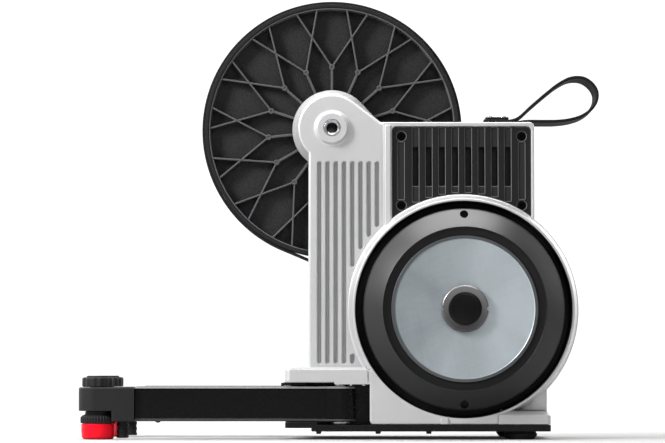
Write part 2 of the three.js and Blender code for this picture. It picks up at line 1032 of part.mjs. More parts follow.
function strapPieces() {
  const plateBottom = towerTop + 2 * (fitGap + strap.thickness) + strap.layerGap;
  const plateTopZ = plateBottom + strap.plateThickness;
  const half = strap.width / 2 - strap.plateInset;
  const bores = strapScrewXs().map((x) =>
    rodZ(
      strap.screwShankRadius + fitGap,
      towerTop - tower.sideWall,
      plateTopZ + cutOverrun,
      turns.tiny,
      x,
      strap.midY,
    ),
  );
  const clamp = box(
    strap.tabLeft + strap.plateInset,
    strap.tabRight - strap.plateInset,
    strap.midY - half,
    strap.midY + half,
    plateBottom,
    plateTopZ,
  );
  addPiece(trainer, 'carry_strap', cut(strapRibbon(), bores), rubber());
  addPiece(trainer, 'strap_clamp_plate', cut(clamp, bores), blackPaint());
  strapScrewXs().forEach((x, i) => {
    const headBottom = plateTopZ + fitGap;
    const headTop = headBottom + strap.screwHeadHeight;
    const screw = joined(
      rodZ(strap.screwHeadRadius, headBottom, headTop, turns.screw, x, strap.midY),
      rodZ(
        strap.screwShankRadius,
        towerTop - tower.sideWall,
        headBottom + cutOverrun / 2,
        turns.tiny,
        x,
        strap.midY,
      ),
    );
    const socket = rodZ(
      strap.screwSocketRadius,
      headTop - strap.screwSocketDepth,
      headTop + cutOverrun,
      turns.tiny / 2,
      x,
      strap.midY,
    );
    addPiece(trainer, `strap_screw_${i + 1}`, cut(screw, socket), blackPaint());
  });
}

function grillePieces() {
  let panel = grilleSolid(fitGap, grilleNearY, grilleFarY);
  for (let i = 0; i < grille.ventCount; i += 1) {
    const x = grille.ventFirstX + i * grille.ventPitch;
    const across = Math.abs(x - drum.x);
    const ringTop = drum.z + Math.sqrt((drum.rootRadius + grille.cornerRadius) ** 2 - across ** 2);
    const grooveBottom = Math.max(grilleLevel.grooveBottom, ringTop);
    panel = cut(
      panel,
      box(
        x - grille.ventWidth / 2,
        x + grille.ventWidth / 2,
        grilleNearY - cutOverrun,
        grilleNearY + grille.grooveDepth,
        grooveBottom,
        grilleLevel.grooveTop,
      ),
      box(
        x - grille.ventWidth / 2,
        x + grille.ventWidth / 2,
        grilleNearY - cutOverrun,
        grilleFarY + cutOverrun,
        Math.max(grilleLevel.ventBottom, ringTop),
        grilleLevel.ventTop,
      ),
    );
  }
  const sideXs = [
    grille.left + grille.sideGrooveInset + grille.sideGrooveWidth / 2,
    grille.right - grille.sideGrooveInset - grille.sideGrooveWidth / 2,
  ];
  const sideGrooves = sideXs.map((x) =>
    box(
      x - grille.sideGrooveWidth / 2,
      x + grille.sideGrooveWidth / 2,
      grilleNearY - cutOverrun,
      grilleNearY + grille.grooveDepth,
      grilleLevel.sideGrooveBottom,
      grilleLevel.sideGrooveTop,
    ),
  );
  const corners = grilleCorners();
  const seatY = grilleNearY + grilleScrew.headHeight;
  const seats = corners.map(([x, z]) =>
    rodY(grilleScrew.headRadius + fitGap, grilleNearY - cutOverrun, seatY, turns.screw, x, z),
  );
  const holes = corners.map(([x, z]) =>
    rodY(grilleScrew.shankRadius + fitGap, grilleNearY, grilleFarY + cutOverrun, turns.tiny, x, z),
  );
  const posts = boardCorners().map(([x, z]) => rodY(
    board.postRadius,
    grilleFarY - fitGap,
    boardNearY - fitGap,
    turns.tiny,
    x,
    z,
  ));
  addPiece(
    trainer,
    'vent_grille',
    cut(joined(cut(panel, sideGrooves), posts), seats, holes),
    blackPlastic(),
  );
  corners.forEach(([x, z], i) => {
    const headFarY = seatY - fitGap;
    const headNearY = headFarY - grilleScrew.headHeight;
    const screw = joined(
      rodY(grilleScrew.headRadius, headNearY, headFarY, turns.screw, x, z),
      rodY(
        grilleScrew.shankRadius,
        headNearY + fitGap,
        headFarY + grilleScrew.shankLength,
        turns.tiny,
        x,
        z,
      ),
    );
    const socket = rodY(
      grilleScrew.socketRadius,
      headNearY - cutOverrun,
      headNearY + grilleScrew.socketDepth,
      turns.tiny / 2,
      x,
      z,
    );
    addPiece(trainer, `grille_screw_${i + 1}`, cut(screw, socket), blackPaint());
  });
}

const boardNearY = grilleFarY + board.standoff;

function boardCorners() {
  const xs = [board.left + board.postInset, board.left + board.width - board.postInset];
  const zs = [boardBottom + board.postInset, boardBottom + board.height - board.postInset];
  return xs.flatMap((x) => zs.map((z) => [x, z]));
}

function controlBoard() {
  return box(
    board.left,
    board.left + board.width,
    boardNearY,
    boardNearY + board.thickness,
    boardBottom,
    boardBottom + board.height,
  );
}

function dcInlet() {
  const outer = tower.right + fitGap + inlet.flange;
  const body = joined(
    rodX(inlet.flangeRadius, tower.right + fitGap, outer, turns.small, inlet.y, inlet.z),
    rodX(inlet.radius, outer - inlet.length, outer - inlet.flange / 2, turns.small, inlet.y, inlet.z),
  );
  const socket = rodX(
    inlet.socketRadius,
    outer - inlet.socketDepth,
    outer + cutOverrun,
    turns.small,
    inlet.y,
    inlet.z,
  );
  const contact = rodX(
    inlet.pinRadius,
    outer - inlet.length / 1.2,
    outer - inlet.flange,
    turns.tiny,
    inlet.y,
    inlet.z,
  );
  return joined(cut(body, socket), contact);
}

// The drive side cover: a shell whose outline is cut back round the sprockets.
function coverShape(inset) {
  const left = arm.left + inset;
  const right = tower.right - inset;
  const top = towerTop - inset;
  const radius = cover.axleCut + inset;
  const r = tower.cornerRadius;
  const shape = new THREE.Shape();
  shape.moveTo(left, coverBottom + inset);
  shape.lineTo(right, coverBottom + inset);
  shape.absarc(right - r, top - r, r, 0, Math.PI / 2, false);
  const from = Math.asin((top - axle.height) / radius);
  const to = -Math.PI + Math.acos(-left / radius);
  shape.absarc(0, axle.height, radius, from, to, true);
  return shape;
}

const coverPosts = [
  [arm.left + tower.sideWall + cover.postRadius, coverBottom + 2 * cover.postRadius],
  [tower.right - tower.sideWall - cover.postRadius, coverBottom + 2 * cover.postRadius],
  [tower.right - tower.sideWall - cover.postRadius, towerTop - 2 * cover.postRadius - tower.sideWall],
  [arm.left + tower.sideWall + cover.postRadius, axle.height - cover.axleCut - 4 * cover.postRadius],
];

function coverPieces() {
  const panelNearY = coverFarY - cover.wall;
  const shell = cut(
    slabY(coverShape(0), coverNearY, coverFarY, turns.tiny),
    slabY(coverShape(cover.wall), coverNearY - cutOverrun, panelNearY, turns.tiny),
  );
  const boss = rodY(
    cover.bossRadius,
    flywheelBearing.farNearY,
    panelNearY + cover.wall / 2,
    turns.medium,
    ...drumAt,
  );
  const posts = coverPosts.map(([x, z]) => rodY(
    cover.postRadius,
    coverNearY,
    panelNearY + cover.wall / 2,
    turns.small,
    x,
    z,
  ));
  const ribs = [];
  for (let i = 0; i < cover.ribCount; i += 1) {
    const z = drum.z - ((cover.ribCount - 1) / 2 - i) * cover.ribPitch;
    const half = (tower.right - arm.left) / 2 - tower.cornerRadius * 4;
    const mid = (tower.right + arm.left) / 2;
    ribs.push(box(
      mid - half,
      mid + half,
      panelNearY + cover.wall / 2,
      coverFarY + cover.ribRise,
      z - cover.rib / 2,
      z + cover.rib / 2,
    ));
  }
  const bearingBore = rodY(
    flywheelBearing.radius + fitGap,
    flywheelBearing.farNearY - cutOverrun,
    flywheelBearing.farNearY + flywheelBearing.length,
    turns.medium,
    ...drumAt,
  );
  const shaftRoom = rodY(
    shaft.radius + fitGap,
    flywheelBearing.farNearY,
    shaft.farY + fitGap,
    turns.small,
    ...drumAt,
  );
  const headSeatY = coverFarY - coverScrew.headHeight / 2;
  const bores = coverPosts.flatMap(([x, z]) => [
    rodY(
      coverScrew.shankRadius + fitGap,
      headSeatY - coverScrew.shankLength,
      coverFarY,
      turns.tiny,
      x,
      z,
    ),
    rodY(coverScrew.headRadius + fitGap, headSeatY - fitGap, coverFarY + cutOverrun, turns.screw, x, z),
  ]);
  addPiece(
    trainer,
    'drive_side_cover',
    cut(joined(shell, boss, posts, ribs), bearingBore, shaftRoom, bores),
    blackPlastic(),
  );
  coverPosts.forEach(([x, z], i) => {
    const screw = joined(
      rodY(coverScrew.headRadius, headSeatY, headSeatY + coverScrew.headHeight, turns.screw, x, z),
      rodY(
        coverScrew.shankRadius,
        headSeatY + fitGap - coverScrew.shankLength,
        headSeatY + fitGap,
        turns.tiny,
        x,
        z,
      ),
    );
    const faceY = headSeatY + coverScrew.headHeight;
    const socket = rodY(
      coverScrew.socketRadius,
      faceY - coverScrew.socketDepth,
      faceY + cutOverrun,
      turns.tiny / 2,
      x,
      z,
    );
    addPiece(trainer, `cover_screw_${i + 1}`, cut(screw, socket), blackPaint());
  });
}

function brakePieces() {
  const at = place(drum.x, 0, drum.z);
  const carrierFarY = drumFloorY - fitGap;
  const carrierNearY = carrierFarY - brake.carrierThickness;
  const carrier = ringY(
    brake.carrierBoreRadius,
    brake.carrierRadius,
    carrierNearY,
    carrierFarY,
    turns.medium,
  );
  addPiece(at, 'brake_coil_carrier', carrier, blackPaint());
  const coilFarY = carrierNearY - fitGap;
  for (let i = 0; i < brake.coilCount; i += 1) {
    const [x, z] = onCircle(brake.coilCircle, (i * 2 * Math.PI) / brake.coilCount);
    const flangeY = brake.coilNearY + brake.coilFlange;
    const profile = [
      [0, brake.coilNearY],
      [brake.coilFlangeRadius, brake.coilNearY],
      [brake.coilFlangeRadius, flangeY],
      [brake.coilRadius, flangeY],
      [brake.coilRadius, coilFarY - brake.coilFlange],
      [brake.coilFlangeRadius, coilFarY - brake.coilFlange],
      [brake.coilFlangeRadius, coilFarY],
      [0, coilFarY],
    ];
    addPiece(at, `brake_coil_${i + 1}`, turnedY(profile, turns.tiny, x, z), finish(0xa35b2c, 0.4, 0.7));
  }
}

// Base plate, rear feet and leg pivots

function basePlate() {
  const slab = box(
    plate.left,
    base.right,
    -base.halfWidth,
    base.halfWidth,
    plate.bottom,
    plateTop - fitGap,
  );
  const tongues = [-1, 1].map((side) => {
    const inner = base.halfWidth - plate.tongueWidth;
    const [y0, y1] = side < 0 ? [-base.halfWidth, -inner] : [inner, base.halfWidth];
    return box(plate.tongueLeft, plate.left + base.wall, y0, y1, plate.tongueBottom, plate.tongueTop);
  });
  const nubs = plate.nubXs.flatMap((x) =>
    [-1, 1].map((side) => {
      const y = side * (base.halfWidth - plate.nubWidth);
      const half = plate.nubWidth / 2;
      return box(
        x - half,
        x + half,
        y - half,
        y + half,
        plate.bottom - plate.nubDrop,
        plate.bottom + fitGap,
      );
    }),
  );
  const stems = [-1, 1].map((side) =>
    rodZ(
      rearFoot.stemRadius + fitGap,
      plate.bottom - cutOverrun,
      rearFoot.height + rearFoot.stemHeight + fitGap,
      turns.small,
      rearFoot.x,
      side * rearFootY,
    ),
  );
  const nutRooms = [-1, 1].map((side) =>
    rodZ(
      pin.nutRadius + fitGap,
      plate.bottom - cutOverrun,
      plateTop + cutOverrun,
      turns.small,
      leg.pivotX,
      side * legY,
    ),
  );
  return cut(joined(slab, tongues, nubs), stems, nutRooms);
}

function rearFootSolid() {
  const r = rearFoot.edgeRadius;
  const profile = [[0, 0]];
  for (let i = 0; i <= turns.tiny / 3; i += 1) {
    const angle = (i / (turns.tiny / 3)) * (Math.PI / 2);
    profile.push([rearFoot.radius - r + r * Math.sin(angle), r - r * Math.cos(angle)]);
  }
  const top = rearFoot.height;
  profile.push([rearFoot.radius, top], [rearFoot.stemRadius, top]);
  profile.push([rearFoot.stemRadius, top + rearFoot.stemHeight], [0, top + rearFoot.stemHeight]);
  return turnedZ(profile, turns.medium);
}

function pivotPin() {
  const nutTop = pin.nutBottom + pin.nutHeight;
  return turnedZ(
    [
      [0, pin.nutBottom],
      [pin.nutRadius, pin.nutBottom],
      [pin.nutRadius, nutTop],
      [pin.radius, nutTop],
      [pin.radius, pin.top],
      [0, pin.top],
    ],
    turns.small,
  );
}

// Axle, wheel and freehub, drawn round the wheel's own axis

function axlePieces(at) {
  const half = axle.spacing / 2;
  const inner = half - axle.endLength - fitGap;
  addPiece(at, 'hollow_axle', ringY(axle.boreRadius, axle.radius, -inner, inner, turns.small), steel());
  const nearEnd = ringY(axle.boreRadius, axle.nearEndRadius, -half, axle.endLength - half, turns.small);
  addPiece(at, 'frame_adaptor_near', nearEnd, darkSteel());
  const farEnd = ringY(axle.boreRadius, axle.farEndRadius, half - axle.endLength, half, turns.small);
  addPiece(at, 'frame_adaptor_far', farEnd, darkSteel());
  const bearing = (nearY) =>
    ringY(
      axle.radius + fitGap,
      wheelBearing.radius - fitGap,
      nearY,
      nearY + wheelBearing.length,
      turns.small,
    );
  addPiece(at, 'wheel_bearing_near', bearing(wheel.hubNearY + wheelBearing.seatInset), steel());
  addPiece(
    at,
    'wheel_bearing_far',
    bearing(wheel.hubFarY - wheelBearing.seatInset - wheelBearing.length),
    steel(),
  );
}

function driveWheel() {
  const webFarY = wheel.webNearY + wheel.webThickness;
  const body = turnedY(
    [
      [wheelBearing.radius, wheel.hubNearY],
      [wheel.hubRadius, wheel.hubNearY],
      [wheel.hubRadius, wheel.webNearY],
      [wheel.rimInnerRadius, wheel.webNearY],
      [wheel.rimInnerRadius, wheel.nearY + wheel.rimStepDepth],
      [wheel.rimStepRadius, wheel.nearY + wheel.rimStepDepth],
      [wheel.rimStepRadius, wheel.nearY],
      [rimRadius, wheel.nearY],
      [rimRadius, wheelFarY],
      [wheel.rimInnerRadius, wheelFarY],
      [wheel.rimInnerRadius, webFarY],
      [wheel.hubRadius, webFarY],
      [wheel.hubRadius, wheel.hubFarY],
      [wheelBearing.radius, wheel.hubFarY],
    ],
    turns.large,
  );
  const ribNearY = wheel.webNearY - wheel.ribDepth;
  const ribFarY = wheel.webNearY + wheel.webThickness / 2;
  const rimReach = wheel.rimInnerRadius + wheel.branchWidth / 2;
  const hubReach = wheel.hubRadius - wheel.branchWidth;
  const ribs = [];
  for (let i = 0; i < wheel.ribCount; i += 1) {
    const angle = Math.PI / 2 + (i * 2 * Math.PI) / wheel.ribCount;
    const node = onCircle(wheel.nodeRadius, angle);
    ribs.push(barY(onCircle(hubReach, angle), node, wheel.spokeWidth, ribNearY, ribFarY));
    ribs.push(barY(
      node,
      onCircle(rimReach, angle + wheel.branchSpread),
      wheel.branchWidth,
      ribNearY,
      ribFarY,
    ));
    ribs.push(barY(
      node,
      onCircle(rimReach, angle - wheel.branchSpread),
      wheel.branchWidth,
      ribNearY,
      ribFarY,
    ));
  }
  return joined(body, ribs);
}

function freehubSolid() {
  const shape = new THREE.Shape();
  const step = (2 * Math.PI) / freehub.grooveCount;
  const land = step * (1 - freehub.grooveShare);
  const inner = freehub.radius - freehub.grooveDepth;
  for (let i = 0; i < freehub.grooveCount; i += 1) {
    shape.absarc(0, 0, freehub.radius, i * step, i * step + land, false);
    shape.absarc(0, 0, inner, i * step + land, (i + 1) * step, false);
  }
  const body = slabY(shape, freehub.nearY, freehub.nearY + freehub.length, turns.corner / 2);
  const bore = rodY(
    axle.radius + fitGap,
    freehub.nearY - cutOverrun,
    freehub.nearY + freehub.length + cutOverrun,
    turns.small,
  );
  return cut(body, bore);
}

// Flywheel, drawn round its own axis

const recessY = flywheel.frontY + flywheel.recessDepth;
const discFarY = flywheel.frontY + flywheel.webFrontInset;
const discNearY = discFarY - fitGap - disc.thickness;
const nutFarY = discNearY - fitGap;
const nutNearY = nutFarY - nut.height;

function flywheelSolid() {
  const webFarY = discFarY + flywheel.webThickness;
  const body = turnedY(
    [
      [shaft.radius + fitGap, discFarY],
      [disc.radius + fitGap, discFarY],
      [disc.radius + fitGap, recessY],
      [flywheel.faceRadius, recessY],
      [flywheel.faceRadius, flywheel.frontY],
      [flywheel.radius, flywheel.shoulderY],
      [flywheel.radius, flywheel.backY],
      [flywheel.rimInnerRadius, flywheel.backY],
      [flywheel.rimInnerRadius, webFarY],
      [flywheel.hubRadius, webFarY],
      [flywheel.hubRadius, webFarY + flywheel.webThickness],
      [shaft.radius + fitGap, webFarY + flywheel.webThickness],
    ],
    turns.large,
  );
  const holes = [1, -1].map((side) => {
    const nearY = flywheel.frontY - cutOverrun;
    return rodY(
      flywheel.holeRadius,
      nearY,
      flywheel.shoulderY + flywheel.holeDepth,
      turns.small,
      0,
      side * flywheel.holeCircle,
    );
  });
  return cut(body, holes);
}

function discSolid() {
  return turnedY(
    [
      [shaft.threadRadius + fitGap, discFarY - fitGap],
      [shaft.threadRadius + fitGap, discNearY],
      [disc.radius - disc.rimWidth, discNearY],
      [disc.radius - disc.rimWidth, discNearY - disc.rimRise],
      [disc.radius, discNearY - disc.rimRise],
      [disc.radius, discFarY - fitGap],
    ],
    turns.large,
  );
}

function nutSolid() {
  const ring = turnedY(
    [
      [nut.boreRadius, nutFarY],
      [nut.boreRadius, nutNearY + nut.height / 2],
      [nut.boreRadius, nutNearY],
      [nut.radius - nut.bevel, nutNearY],
      [nut.radius, nutNearY + nut.bevel],
      [nut.radius, nutFarY],
    ],
    turns.medium,
  );
  const seat = ringY(
    shaft.threadRadius + fitGap,
    nut.boreRadius + fitGap,
    nutFarY - nut.height / 3,
    nutFarY,
    turns.medium,
  );
  const notches = [-1, 1].map((side) =>
    box(
      side * nut.radius - nut.notchDepth,
      side * nut.radius + nut.notchDepth,
      nutNearY - cutOverrun,
      nutFarY - nut.height / 3,
      -nut.notchWidth / 2,
      nut.notchWidth / 2,
    ),
  );
  return cut(joined(ring, seat), notches);
}

function capSolid() {
  const backY = nutNearY - fitGap;
  return turnedY(
    [
      [0, backY - cap.thickness],
      [cap.radius * 0.6, backY - cap.thickness + cap.dome / 3],
      [cap.radius - cap.dome, backY - cap.thickness + cap.dome],
      [cap.radius, backY - cap.thickness + 1.6 * cap.dome],
      [cap.radius, backY],
      [cap.plugRadius, backY],
      [cap.plugRadius, backY + cap.plugLength],
      [0, backY + cap.plugLength],
    ],
    turns.medium,
  );
}

function shaftSolid() {
  const threadNearY = nutFarY - nut.height / 3;
  return turnedY(
    [
      [0, threadNearY],
      [shaft.threadRadius, threadNearY],
      [shaft.threadRadius, discFarY],
      [shaft.radius, discFarY],
      [shaft.radius, shaft.farY],
      [0, shaft.farY],
    ],
    turns.small,
  );
}

function pulleySolid() {
  const nearY = belt.nearY - pulley.flangeWidth - fitGap;
  const farY = belt.nearY + belt.width + pulley.flangeWidth + fitGap;
  const flange = pulleyRadius + pulley.flangeRise;
  return turnedY(
    [
      [shaft.radius + fitGap, nearY],
      [pulleyRadius, nearY],
      [pulleyRadius, farY - pulley.flangeWidth],
      [flange, farY - pulley.flangeWidth],
      [flange, farY],
      [shaft.radius + fitGap, farY],
    ],
    turns.medium,
  );
}

function flywheelPieces(at) {
  addPiece(at, 'flywheel', flywheelSolid(), finish(0x3f4144, 0.45, 0.7));
  addPiece(at, 'flywheel_disc', discSolid(), finish(0x9fa9b3, 0.35, 0.8));
  addPiece(at, 'flywheel_nut', nutSolid(), darkSteel());
  addPiece(at, 'flywheel_nut_cap', capSolid(), blackPlastic());
  addPiece(at, 'flywheel_shaft', shaftSolid(), steel());
  addPiece(at, 'drive_pulley', pulleySolid(), steel());
}

function flywheelBearings(at) {
  const ring = (nearY) =>
    ringY(
      shaft.radius + fitGap,
      flywheelBearing.radius,
      nearY,
      nearY + flywheelBearing.length - fitGap,
      turns.small,
    );
  const nearSeat = wallBackY + drum.bearingBossDepth - flywheelBearing.length + fitGap;
  addPiece(at, 'flywheel_bearing_near', ring(nearSeat), steel());
  addPiece(at, 'flywheel_bearing_far', ring(flywheelBearing.farNearY), steel());
}

function idlerPieces() {
  const [x, z] = idlerPlace();
  const at = place(x, 0, z);
  const roller = ringY(
    idler.boltRadius + fitGap,
    idler.radius,
    belt.nearY,
    belt.nearY + belt.width,
    turns.small,
  );
  addPiece(at, 'belt_idler', roller, blackPlastic());
  const headNearY = belt.nearY + belt.width + fitGap;
  const bolt = joined(
    rodY(idler.boltRadius, wallBackY + 2 * fitGap, headNearY + fitGap, turns.tiny),
    rodY(idler.headRadius, headNearY, headNearY + idler.headHeight, turns.tiny / 2),
  );
  addPiece(at, 'idler_bolt', bolt, steel());
}

// One folding leg, drawn round its pivot with the leg along -X

const lx = (x) => x - leg.pivotX;

function legTube() {
  const top = leg.bottom + leg.height;
  const half = leg.width / 2;
  const section = new THREE.Shape();
  const b = leg.edgeBevel;
  [
    [-half + b, leg.bottom], [half - b, leg.bottom], [half, leg.bottom + b], [half, top - b],
    [half - b, top], [-half + b, top], [-half, top - b], [-half, leg.bottom + b],
  ].forEach(([y, z], i) => (i ? section.lineTo(y, z) : section.moveTo(y, z)));
  const length = -lx(leg.end);
  const bar = new THREE.ExtrudeGeometry(section, { depth: length, bevelEnabled: false });
  bar.rotateX(Math.PI / 2).rotateZ(-Math.PI / 2);
  const outer = joined(toSolid(bar), rodZ(leg.rootRadius, leg.bottom, top, turns.medium));
  const inner = box(
    lx(leg.end) - cutOverrun,
    -leg.rootLength,
    leg.wall - half,
    half - leg.wall,
    leg.bottom + leg.wall,
    top - leg.wall,
  );
  const panels = [-1, 1].map((side) => {
    const [y0, y1] = side < 0 ? [
      -half - cutOverrun,
      leg.panelDepth - half,
    ] : [half - leg.panelDepth, half + cutOverrun];
    const left = lx(leg.end) + leg.panelInset;
    return box(
      left,
      -leg.rootLength + leg.rootRadius / 2,
      y0,
      y1,
      leg.bottom + leg.bandHeight,
      top - leg.bandHeight,
    );
  });
  return cut(
    outer,
    inner,
    panels,
    rodZ(pin.radius + fitGap, leg.bottom - cutOverrun, top + cutOverrun, turns.small),
  );
}

function endCapSolid() {
  const half = endCap.width / 2;
  const block = slabY(
    [
      [lx(endCap.left), endCap.stepBottom],
      [lx(endCap.stepX), endCap.stepBottom],
      [lx(endCap.stepX), endCap.bottom],
      [lx(leg.end) - fitGap, endCap.bottom],
      [lx(leg.end) - fitGap, endCap.top],
      [lx(endCap.left) + endCap.bevel, endCap.top],
      [lx(endCap.left), endCap.top - endCap.bevel],
    ],
    -half,
    half,
  );
  const plan = new THREE.Shape();
  plan.absarc(lx(endCap.left) + half, 0, half, Math.PI / 2, 1.5 * Math.PI, false);
  plan.lineTo(0, -half);
  plan.lineTo(0, half);
  const ringRoom = rodZ(foot.ringRadius + foot.ringGap, 0, endCap.stepBottom, turns.medium, lx(foot.x));
  const rounded = cut(
    block.intersect(slabZ(plan, 0, leg.bottom + 2 * leg.height, turns.tiny)),
    ringRoom,
  );
  const reach = leg.width / 2 - leg.wall - fitGap;
  const spigot = box(
    lx(leg.end) - endCap.bevel,
    lx(leg.end) + endCap.spigotLength,
    -reach,
    reach,
    leg.bottom + leg.wall + fitGap,
    leg.bottom + leg.height - leg.wall - fitGap,
  );
  const spigotRoom = box(
    lx(leg.end) + endCap.spigotWall,
    lx(leg.end) + endCap.spigotLength + cutOverrun,
    endCap.spigotWall - reach,
    reach - endCap.spigotWall,
    leg.bottom + leg.wall + endCap.spigotWall,
    leg.bottom + leg.height - leg.wall - endCap.spigotWall,
  );
  const post = rodZ(
    endCap.postRadius - endCap.postRibRise,
    endCap.postBottom,
    endCap.bottom + endCap.bevel,
    turns.tiny,
    lx(endCap.postX),
  );
  const pitch = (endCap.bottom - endCap.postBottom) / endCap.postRibs;
  const ribs = [];
  for (let i = 0; i < endCap.postRibs; i += 1) {
    const z = endCap.postBottom + i * pitch;
    ribs.push(rodZ(endCap.postRadius, z, z + pitch / 2, turns.tiny, lx(endCap.postX)));
  }
  const stemBore = rodZ(foot.stemRadius + fitGap, 0, endCap.top + cutOverrun, turns.small, lx(foot.x));
  const knobBore = rodZ(
    knob.stemRadius + fitGap,
    endCap.top - knob.stemLength,
    endCap.top + cutOverrun,
    turns.small,
    lx(foot.x),
  );
  return cut(joined(rounded, cut(spigot, spigotRoom), post, ribs), stemBore, knobBore);
}

// A disc with shallow grips round its edge.
function grippedDisc(radius, grips, depth, bottom, top) {
  const shape = new THREE.Shape();
  const count = grips * 2;
  for (let i = 0; i < count; i += 1) {
    const r = i % 2 ? radius - depth : radius;
    const a = (i * 2 * Math.PI) / count;
    const b = ((i + 0.8) * 2 * Math.PI) / count;
    const start = onCircle(r, a);
    const end = onCircle(r, b);
    if (i) shape.lineTo(...start);
    else shape.moveTo(...start);
    shape.lineTo(...end);
  }
  return slabZ(shape, bottom, top);
}

function footStem() {
  const r = foot.ringRadius;
  const ring = grippedDisc(
    r,
    foot.knurls,
    foot.knurlDepth,
    foot.ringBottom + fitGap,
    foot.ringTop - foot.ringDome,
  );
  const dome = turnedZ(
    [[0, foot.ringBottom + foot.ringDome], [r - foot.knurlDepth, foot.ringBottom + foot.ringDome],
      [
        r - foot.knurlDepth,
        foot.ringTop - foot.ringDome,
      ], [r - 3 * foot.ringDome, foot.ringTop], [0, foot.ringTop]],
    turns.medium,
  );
  const stem = rodZ(foot.stemRadius, foot.ringBottom + foot.ringDome, foot.stemTop, turns.small);
  return joined(ring, dome, stem);
}

function footPad() {
  const r = foot.padEdgeRadius;
  const profile = [[0, 0]];
  const steps = turns.tiny / 2;
  for (let i = 0; i <= steps; i += 1) {
    const angle = (i / steps) * (Math.PI / 2);
    profile.push([foot.padRadius - r + r * Math.sin(angle), r - r * Math.cos(angle)]);
  }
  profile.push([foot.padRadius, foot.ringBottom], [0, foot.ringBottom]);
  return turnedZ(profile, turns.medium);
}

function knobSolid() {
  const bottom = endCap.top + fitGap;
  const top = bottom + knob.height;
  const discTop = top + knob.discHeight;
  return joined(
    grippedDisc(knob.radius, knob.grips, knob.gripDepth, bottom, top),
    rodZ(knob.discRadius, top - knob.discHeight, discTop, turns.medium),
    rodZ(knob.stemRadius, bottom - knob.stemLength + fitGap, bottom + knob.discHeight, turns.small),
  );
}

function latchSolid() {
  const top = base.platformFrontBottom - fitGap;
  const bottom = top - latch.thickness;
  const half = latch.width / 2;
  return joined(
    box(latch.left, latch.left + latch.length, -half, half, bottom, top),
    box(latch.left, latch.left + latch.lipLength, -half, half, bottom - latch.lipDrop, top),
  );
}

function legPieces(side, word) {
  const at = place(leg.pivotX, side * legY, 0);
  addPiece(at, `leg_tube_${word}`, legTube(), blackPaint());
  addPiece(at, `leg_end_cap_${word}`, endCapSolid(), blackPlastic());
  addPiece(at, `leg_pivot_pin_${word}`, pivotPin(), steel());
  const footAt = place(lx(foot.x), 0, 0, at);
  addPiece(footAt, `foot_stem_${word}`, footStem(), blackPlastic());
  addPiece(footAt, `foot_pad_${word}`, footPad(), finish(0xd80f1c, 0.5, 0));
  addPiece(footAt, `height_knob_${word}`, knobSolid(), blackPlastic());
  addPiece(place(0, side * legY, 0), `leg_release_tab_${word}`, latchSolid(), blackPlastic());
  addPiece(place(rearFoot.x, side * rearFootY, 0), `rear_foot_${word}`, rearFootSolid(), rubber());
}

// The assembly

addPiece(trainer, 'main_casting', mainCasting(), silverPaint());
addPiece(trainer, 'base_plate', basePlate(), blackPaint());
grillePieces();
coverPieces();
addPiece(trainer, 'control_board', controlBoard(), finish(0x1f3d2b, 0.6, 0.1));
addPiece(trainer, 'power_inlet', dcInlet(), blackPlastic());
addPiece(trainer, 'drive_belt', driveBelt(), rubber());
idlerPieces();
strapPieces();

const wheelAt = place(0, 0, axle.height);
axlePieces(wheelAt);
addPiece(wheelAt, 'belt_wheel', driveWheel(), finish(0x2b2c2f, 0.6, 0.1));
addPiece(wheelAt, 'freehub_body', freehubSolid(), steel());

const flywheelAt = place(drum.x, 0, drum.z);
flywheelPieces(flywheelAt);
flywheelBearings(flywheelAt);
brakePieces();

legPieces(-1, 'near');
legPieces(1, 'far');

// The origin is moved to the middle of the whole part's underside.
const bounds = new THREE.Box3().setFromObject(trainer, true);
const middle = bounds.getCenter(new THREE.Vector3());
trainer.position.set(-middle.x, -middle.y, -bounds.min.z);
trainer.updateMatrixWorld(true);

export default trainer;
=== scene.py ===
import math
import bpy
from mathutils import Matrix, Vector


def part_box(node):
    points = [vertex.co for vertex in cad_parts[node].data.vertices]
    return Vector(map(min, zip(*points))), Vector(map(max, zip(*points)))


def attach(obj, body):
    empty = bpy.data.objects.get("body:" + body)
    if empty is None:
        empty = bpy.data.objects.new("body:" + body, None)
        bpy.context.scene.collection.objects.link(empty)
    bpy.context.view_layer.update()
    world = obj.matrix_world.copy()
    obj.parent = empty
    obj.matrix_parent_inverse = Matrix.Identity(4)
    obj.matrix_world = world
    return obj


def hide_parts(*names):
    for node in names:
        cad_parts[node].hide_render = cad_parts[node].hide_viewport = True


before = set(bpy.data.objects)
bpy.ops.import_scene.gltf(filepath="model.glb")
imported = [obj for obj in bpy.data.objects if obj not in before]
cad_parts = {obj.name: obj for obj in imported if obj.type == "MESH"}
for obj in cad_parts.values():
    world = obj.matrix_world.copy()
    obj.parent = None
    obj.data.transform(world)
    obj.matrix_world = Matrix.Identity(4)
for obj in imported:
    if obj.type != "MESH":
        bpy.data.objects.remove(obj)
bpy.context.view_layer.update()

from types import SimpleNamespace as Sizes

import bpy
import numpy as np
from bpy.props import FloatProperty, FloatVectorProperty, PointerProperty
from mathutils import Matrix, Vector
from mathutils.geometry import tessellate_polygon

bl_info = {
    "name": "Direct drive bike trainer",
    "version": (1, 0, 0),
    "blender": (4, 5, 0),
    "location": "3D View > Sidebar > Trainer",
    "description": "Dresses a direct drive bike trainer: casting, belt wheel, flywheel, legs and strap",
    "category": "Object",
}

# Shapes are worked out in millimetres from three planes: the wheel axle above x = 0, the middle
# plane of the bike at y = 0 and the floor at z = 0. place() turns them into metres in the frame.
AXLE_BOX = [np.array(corner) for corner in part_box("hollow_axle")]
DATUM = np.array([*((AXLE_BOX[0] + AXLE_BOX[1]) / 2)[:2], 0.0])
MM = 0.001
TAU = 2 * math.pi
QUARTER = math.pi / 2
GAP = 0.3
CREASE, FINE_CREASE = 32.0, 40.0
SIDES = ((-1, "near"), (1, "far"))


